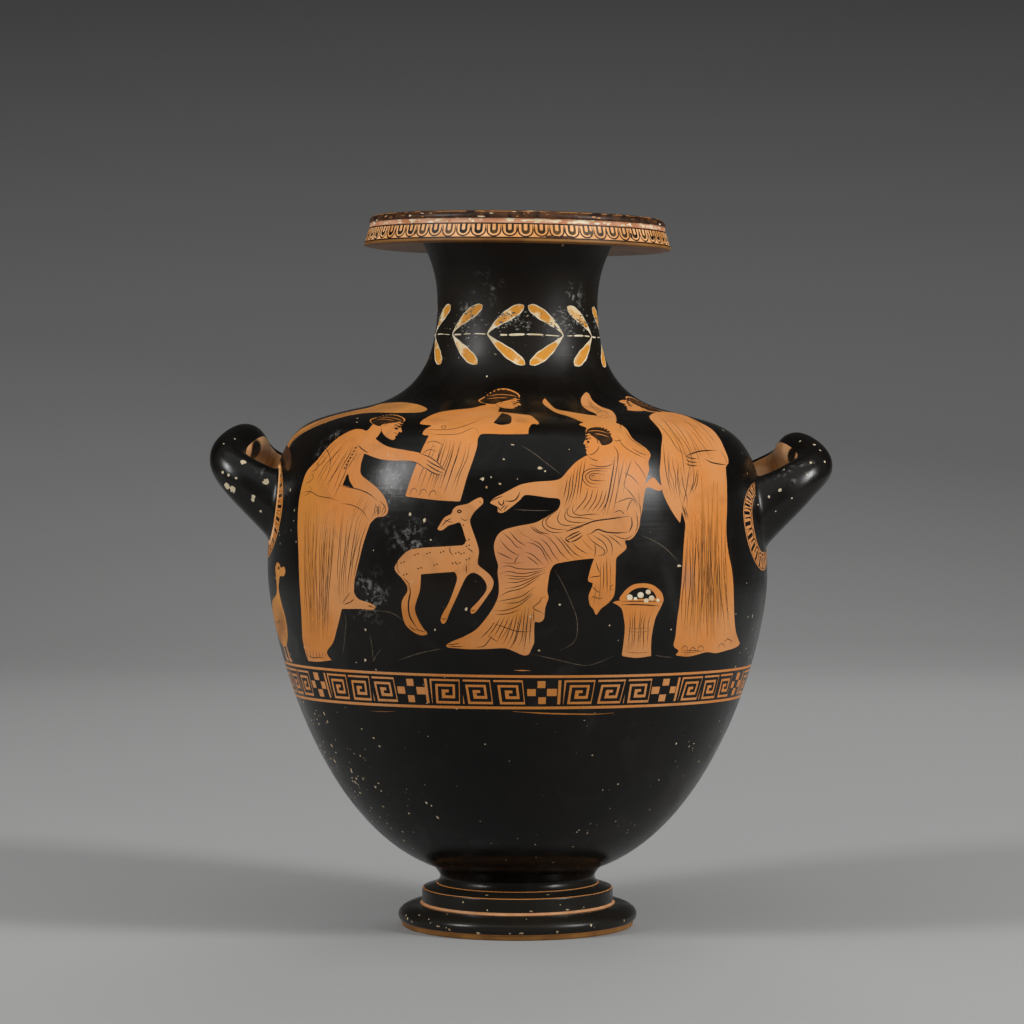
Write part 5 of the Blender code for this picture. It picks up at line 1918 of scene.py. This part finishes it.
def paint_bird(body):
    """A water bird behind the leaning woman, seen in profile with its neck bent."""
    place = np.array([math.radians(-74.0), body.run(0.1745)])
    scale = 1 / body.radius(0.18)

    def lay(points):
        flat = np.array(points, dtype=float) * MM * 0.88
        return place + flat * np.array([scale, 1.0])

    shape = [
        (-34, 16), (-26, 25), (-12, 32), (0, 35), (6, 38), (8, 44), (7, 50), (6, 55), (10, 59),
        (16, 58.6), (19, 56), (25, 57), (27.6, 53.6), (24, 50.4), (17, 50), (14, 46), (12, 41),
        (14, 33), (18, 22), (17, 12), (12, 5), (2, 0), (-10, 0), (-24, 6),
    ]
    body.patch(lay(smooth(shape, closed=True)), "sash")
    for foot in (-4, 6):
        leg = [(foot, 3), (foot + 1.4, -7), (foot + 5, -9.6), (foot - 2, -10), (foot - 1.6, 2)]
        body.patch(lay(smooth(leg, closed=True)), "clay")
    for index in range(6):
        start = -26 + index * 5
        path = smooth([(start, 12 + index), (start + 9, 16 + index * 0.6), (start + 18, 13 + index)])
        stroke(body, lay(path), 0.0005, "wash")
    for index in range(5):
        path = smooth([(13 - index * 4, 31 - index), (14 - index * 4.4, 20 - index), (8 - index * 4, 8)])
        stroke(body, lay(path), 0.0006, "line")
    stroke(body, lay(smooth([(12, 55), (15, 56), (14.4, 54)])), 0.0016, "line")


def paint_thin_lines(body):
    """Ground lines, stems and a few scratches, thin and pale on the black."""
    pale = (
        [(-74, 165), (-60, 169.6), (-46, 172.2)],
        [(8, 169), (24, 165.4), (42, 161.6), (52, 164), (61, 168)],
        [(86, 168), (92, 167), (97, 166.8)],
        [(23, 221.6), (28, 213), (33, 202), (37, 191), (37, 180), (34, 175), (26, 171)],
        [(77, 243), (84, 240), (92, 235), (100, 227)],
        [(-108.6, 196), (-107, 190), (-107.6, 180), (-109, 168)],
        [(-92, 181), (-90.6, 172), (-90, 164)],
        [(-85, 172), (-88, 168), (-90, 164)],
        [(2, 299), (9, 295), (18, 288), (27, 281)],
        [(-98, 196), (-80, 195), (-70, 189)],
        [(-80, 267.4), (-74, 267.4), (-70, 267)],
        [(-2, 259), (10, 258.4), (20, 258.4)],
    )
    for points in pale:
        line(body, points, 0.35, "pale_line", 0.2)


# Larger chips: seen across and up, and half width and height, in mm
CHIPS = (
    (-22, 278, 1.3, 1.0), (14, 285, 1.4, 1.0), (17.2, 283, 0.7, 0.6), (-3, 299.4, 1.2, 0.6),
    (-11, 275, 0.8, 0.6), (-8.6, 290.4, 0.8, 0.5), (13.4, 171, 0.9, 0.6), (-51.4, 184, 0.7, 0.6),
    (26.4, 199.6, 0.7, 0.7), (57.4, 186.6, 0.5, 0.7), (-94.8, 184, 0.7, 0.8), (-95, 165, 0.9, 1.1),
    (-141.6, 271, 0.9, 1.2), (-58, 252.4, 0.9, 1.5), (-67, 256, 0.8, 1.3), (-99.6, 315.8, 1.1, 0.4),
    (-100, 313.4, 0.9, 0.4), (-32, 197, 1.0, 1.1), (95.8, 184, 0.5, 0.6), (146.6, 192.6, 0.6, 1.5),
    (-139, 258.6, 0.5, 0.8), (-19, 342, 0.6, 0.8), (-100.6, 163.6, 0.5, 0.5), (100.6, 223.8, 1.8, 0.7),
    (84, 202, 0.4, 0.5), (-88, 140, 0.6, 0.5), (-25, 138, 0.6, 0.5), (66.6, 142.6, 0.9, 0.6),
    (58, 136, 0.8, 0.4), (-120.6, 131.6, 0.6, 1.1), (-94, 137, 0.5, 0.4), (-56.4, 138.4, 0.8, 0.7),
    (-38, 134.6, 0.7, 0.6), (-125, 128, 0.8, 0.6), (-16, 195, 0.6, 0.5), (-139.4, 252, 0.5, 0.7),
    (-138, 239, 0.5, 0.6), (-141, 246, 0.4, 0.5), (-133, 173, 0.6, 0.7), (8, 192, 0.5, 0.7),
    (-66, 214, 0.5, 0.5), (-54, 240, 0.7, 0.4), (75, 256, 0.5, 0.4), (12, 312, 0.5, 0.4),
    (-31, 301, 0.4, 0.4),
)
# Showers of small chips: degrees round and spread, height and spread in mm, count and size
SHOWERS = (
    (-66, 12, 108, 22, 95, 0.66), (-50, 10, 92, 18, 34, 0.60), (0, 32, 90, 34, 34, 0.40),
    (30, 14, 70, 10, 12, 0.35), (62, 12, 120, 18, 26, 0.42), (72, 6, 185, 16, 26, 0.40),
    (-72, 5, 215, 30, 22, 0.42), (-20, 30, 285, 22, 22, 0.32), (-62, 14, 60, 10, 14, 0.45),
    (40, 20, 230, 30, 14, 0.32), (180, 60, 150, 60, 60, 0.40), (-10, 25, 60, 8, 12, 0.35),
)


def paint_chips(body):
    """Chips in the gloss: the larger ones where they show, and showers of small ones."""
    random = np.random.default_rng(7)
    for x, z, across, up in CHIPS:
        place = on_wall(body, [(x, z)])[0]
        speck(body, random, place, (across * MM, up * MM), "chip", 9)
    for turn, spread, level, rise, count, size in SHOWERS:
        for _ in range(count):
            angle = math.radians(random.normal(turn, spread))
            angle = (angle + math.pi) % math.tau - math.pi
            height = MM * random.normal(level, rise)
            if not 0.045 < height < 0.33 or abs(angle) > 3.1:
                continue
            reach = size * MM * random.uniform(0.6, 1.3) ** 2.2
            speck(
                body, random, (angle, body.run(height)), (reach, reach * random.uniform(0.6, 1.3)),
                "chip",
            )


def paint_palmette(body):
    """A plain palmette over two scrolls under the back handle, drawn as two halves at the seam."""
    level = 0.2150
    scale = 1 / body.radius(level)
    base = body.run(level)
    for side in (-1.0, 1.0):

        def lay(x, y):
            away = np.maximum(x, 0.0) * scale
            return np.stack([side * (math.pi - away), base + y], axis=1)

        def blade(x, y, half, lean):
            wide, tall = half * np.cos(lean), half * np.sin(lean)
            body.patch(np.concatenate([lay(x + wide, y - tall), lay(x - wide, y + tall)[::-1]]), "clay")

        def scroll(x, y, size, half_turns, shrink, width):
            turns = np.linspace(0.0, half_turns * math.pi, 50)
            curl = size * np.exp(-turns / shrink)
            path = lay(x - curl * np.cos(turns), y + curl * np.sin(turns) * 1.1)
            stroke(body, path, width, "clay", 0.1)

        for petal in range(5):
            lean = math.radians(27.0 * petal)
            reach = 0.052 - 0.0055 * petal
            t = np.linspace(0.0, 1.0, 14)
            along = 0.010 + reach * t
            half = 0.0048 * np.sin(math.pi * t**1.6) ** 0.7
            bend = lean + 0.10 * petal * t**2
            blade(along * np.sin(bend), along * np.cos(bend), half, bend)
        scroll(0.020, -0.020, 0.017, 2.6, 5.2, 0.0022)
        scroll(0.070, 0.0, 0.030, 2.3, 4.6, 0.0024)
        for x, y, lean in ((0.052, 0.036, 0.9), (0.086, 0.042, 0.2), (0.102, 0.020, -0.5)):
            t = np.linspace(0.0, 1.0, 12)
            half = 0.0040 * np.sin(math.pi * t**1.4) ** 0.8
            along = 0.020 * t
            blade(x + along * math.sin(lean), y + along * math.cos(lean), half, lean)


def paint_body(body):
    """All painting on the wall. What comes later covers what came before."""
    paint_palmette(body)
    paint_bird(body)
    paint_sash(body)
    paint_middle_woman(body)
    paint_left_woman(body)
    dress_left_woman(body)
    paint_fawn(body)
    paint_seated_woman(body)
    paint_basket(body)
    paint_right_woman(body)
    paint_heads(body)
    paint_thin_lines(body)
    paint_chips(body)
    paint_band(body)
    paint_wreath(body)
    for turn, level, inner, outer, top in COLLARS:
        paint_collar(body, math.radians(turn), level, inner, outer, top)


def build_camera():
    """The photograph's viewpoint."""
    lens = FOCAL_PIXELS / IMAGE_PIXELS * SENSOR_WIDTH
    data = bpy.data.cameras.new("camera")
    data.lens = lens
    data.sensor_width = SENSOR_WIDTH
    camera = bpy.data.objects.new("camera", data)
    bpy.context.scene.collection.objects.link(camera)
    camera.location = (CAMERA_OFFSET, -CAMERA_DISTANCE, CAMERA_HEIGHT)
    camera.rotation_euler = (math.pi / 2 - CAMERA_PITCH, 0.0, 0.0)
    bpy.context.scene.camera = camera


# Studio. Each softbox has a name, a place, a width and height, and a power
LIT_PLACE = (0.0, 0.0, 0.24)
SOFTBOXES = (
    ("left_softbox", (-2.05, -1.15, 1.45), (0.55, 0.9), 40.0),
    ("right_softbox", (2.05, -1.15, 1.35), (0.5, 0.9), 50.0),
    ("top_softbox", (0.0, -0.9, 2.1), (3.0, 2.4), 13.5),
    ("back_softbox", (0.5, 2.1, 1.7), (1.6, 1.0), 24.0),
)
UNMIRRORED = ("back_softbox",)
WORLD_COLOUR = (0.60, 0.61, 0.62)
WORLD_STRENGTH = 0.20
SWEEP_START = 2.2
SWEEP_RADIUS = 1.6
SWEEP_STEPS = 12
SWEEP_TOP = 8.0
SWEEP_REACH = 9.0
# The paper is pale on the floor and dark high up the sweep; the darkening is painted shade for the light's
# falloff
PAPER_NEAR = (0.33, 0.33, 0.326)
PAPER_PAINTED_SHADE_FAR = (0.055, 0.055, 0.054)


def softbox(name, place, size, power):
    """A rectangular light that faces the jar."""
    data = bpy.data.lights.new(name, "AREA")
    data.shape = "RECTANGLE"
    data.size, data.size_y = size
    data.energy = power
    lamp = bpy.data.objects.new(name, data)
    bpy.context.scene.collection.objects.link(lamp)
    lamp.location = place
    lamp.rotation_euler = (Vector(LIT_PLACE) - Vector(place)).to_track_quat("-Z", "Y").to_euler()
    lamp.visible_glossy = name not in UNMIRRORED


def build_studio():
    """Softboxes, a dim even surrounding, and paper that curves up behind the jar, darkening upward as
    painted shade.
    """
    bpy.context.scene.view_settings.view_transform = "Standard"
    for name, place, size, power in SOFTBOXES:
        softbox(name, place, size, power)
    world = bpy.context.scene.world or bpy.data.worlds.new("studio")
    bpy.context.scene.world = world
    world.use_nodes = True
    background = world.node_tree.nodes["Background"].inputs
    background["Color"].default_value = (*WORLD_COLOUR, 1.0)
    background["Strength"].default_value = WORLD_STRENGTH
    sweep = [(-SWEEP_REACH, 0.0), (SWEEP_START, 0.0)]
    for step in range(1, SWEEP_STEPS + 1):
        turn = math.pi / 2 * step / SWEEP_STEPS
        away = SWEEP_START + SWEEP_RADIUS * math.sin(turn)
        sweep.append((away, SWEEP_RADIUS * (1 - math.cos(turn))))
    sweep.append((SWEEP_START + SWEEP_RADIUS, SWEEP_TOP))
    places = [(x, y, z) for y, z in sweep for x in (-SWEEP_REACH, SWEEP_REACH)]
    faces = [(k, k + 1, k + 3, k + 2) for k in range(0, len(places) - 2, 2)]
    mesh = bpy.data.meshes.new("floor")
    mesh.from_pydata(places, [], faces)
    mesh.shade_smooth()
    floor = bpy.data.objects.new("floor", mesh)
    bpy.context.scene.collection.objects.link(floor)
    material, tree, shader = new_material("floor_paper", 0.85)
    # Painted shade: the paper darkens with height up the sweep
    wall = between(tree, height_of(tree, object_places(tree)), 0.02, 1.4)
    tree.links.new(blend(tree, wall, PAPER_NEAR, PAPER_PAINTED_SHADE_FAR), shader.inputs["Base Color"])
    mesh.materials.append(material)


# Handles: gloss of their own, a lighter clay as painted light where the loops are shaded, and how far bare
# clay reaches round and along them
HANDLE_SHINE = 0.28
HANDLE_PAINTED_LIGHT = 0.85
BARE_SIDE = 0.2
BARE_ROOT = 0.455

# Chips, dark spots of painted shade deep in the loops, and hazy spots of wear and painted highlight on the
# handles: seen across and up, and a radius, in millimetres
HANDLE_CHIPS = (
    (-170.9, 288.7, 2.0), (-156.6, 276.3, 2.1), (-181.0, 273.5, 2.4), (-177.6, 271.6, 2.2),
    (-164.6, 267.0, 1.4), (-165.0, 264.8, 1.2), (-183.6, 282.0, 0.9), (-180.0, 280.4, 1.0),
    (-175.2, 278.6, 1.0), (-160.0, 258.0, 0.8), (-183.0, 300.0, 0.6), (-176.0, 303.0, 0.7),
    (182.6, 288.2, 0.9), (191.4, 288.8, 0.8), (185.0, 299.4, 1.0), (188.4, 296.0, 0.8),
    (163.6, 271.0, 1.1), (156.6, 267.0, 0.9), (193.4, 277.0, 1.2), (176.0, 301.6, 0.8),
    (150.0, 262.0, 0.6), (171.0, 266.0, 0.6), (161.0, 258.0, 0.5), (166.0, 284.0, 0.6),
    (180.4, 280.6, 0.6),
)
# Spots of painted shade in the deep inner corners of the two side loops
HANDLE_SHADE_SPOTS = ((-164.0, 292.4, 15.0), (170.6, 291.2, 10.0))
# Hazy spots on the handle tops: wear, and partly painted highlight along the light streaks
HANDLE_HAZE_AND_SHEEN = ((160.0, 278.5, 9.0), (171.0, 280.5, 10.0), (181.0, 285.0, 9.0), (-158.0, 283.0, 7.0))


def seen_on(pieces, spots):
    """Where the camera's rays through seen spots first meet one of the pieces, with each radius."""
    eye = Vector((CAMERA_OFFSET, -CAMERA_DISTANCE, CAMERA_HEIGHT))
    trees = []
    for piece in pieces:
        faces = [tuple(face.vertices) for face in piece.data.polygons]
        trees.append(BVHTree.FromPolygons([v.co for v in piece.data.vertices], faces))
    found = []
    for x, z, radius in spots:
        ray = (Vector((x * MM, 0.0, z * MM)) - eye).normalized()
        hits = []
        for tree in trees:
            place, _, _, distance = tree.ray_cast(eye, ray)
            if place is not None:
                hits.append((distance, tuple(place)))
        if hits:
            found.append((min(hits)[1], radius * MM))
    return found


def main():
    """The painted skin of the wall, foot, lip and inside, and the three handles."""
    coats = paints()
    names = list(coats)
    body = Canvas(body_curve(CURVE_STEPS), UNROLLED_RADIUS)
    foot = Canvas(foot_curve(), FOOT_RADIUS)
    lip = Canvas(lip_curve(), LIP_RADIUS)
    inside = Canvas(inner_curve(), UNROLLED_RADIUS)
    paint_body(body)
    paint_foot(foot)
    paint_lip(lip)
    for canvas, name in ((body, "body"), (foot, "foot"), (lip, "lip"), (inside, "inside")):
        canvas.build(name, "black", coats)

    def side_slot(side, row):
        """The face towards the jar is bare clay, the rest is black."""
        return names.index("clay") if abs(side - 0.5) < BARE_SIDE else names.index("black")

    def left_slot(side, row):
        """As side_slot, with a bare edge at both roots."""
        return names.index("clay") if abs(row - 0.5) > BARE_ROOT else side_slot(side, row)

    def back_slot(side, row):
        return names.index("black")

    right = side_handle_rings(RIGHT_HANDLE_REACH)
    left = side_handle_rings(LEFT_HANDLE_REACH)
    pieces = [
        handle_piece("right_handle", right, HANDLE_TURN_BACK, coats.values(), side_slot),
        handle_piece("left_handle", left, math.pi - HANDLE_TURN_BACK, coats.values(), left_slot),
        handle_piece("back_handle", back_handle_rings(), 0.0, coats.values(), back_slot),
    ]
    marks = seen_on(pieces, HANDLE_CHIPS)
    # The handles' hazy spots are wear and partly painted highlight
    worn = seen_on(pieces, HANDLE_HAZE_AND_SHEEN)
    gloss = black_gloss("handle_gloss", HANDLE_SHINE, marks, worn)
    # The handles' clay is lightened as painted light, with two dark spots of painted shade deep in the
    # loops
    clay = reserved_clay("handle_clay_painted_light", seen_on(pieces, HANDLE_SHADE_SPOTS), HANDLE_PAINTED_LIGHT)
    for piece in pieces:
        piece.data.materials[names.index("black")] = gloss
        piece.data.materials[names.index("clay")] = clay


main()
build_camera()
build_studio()
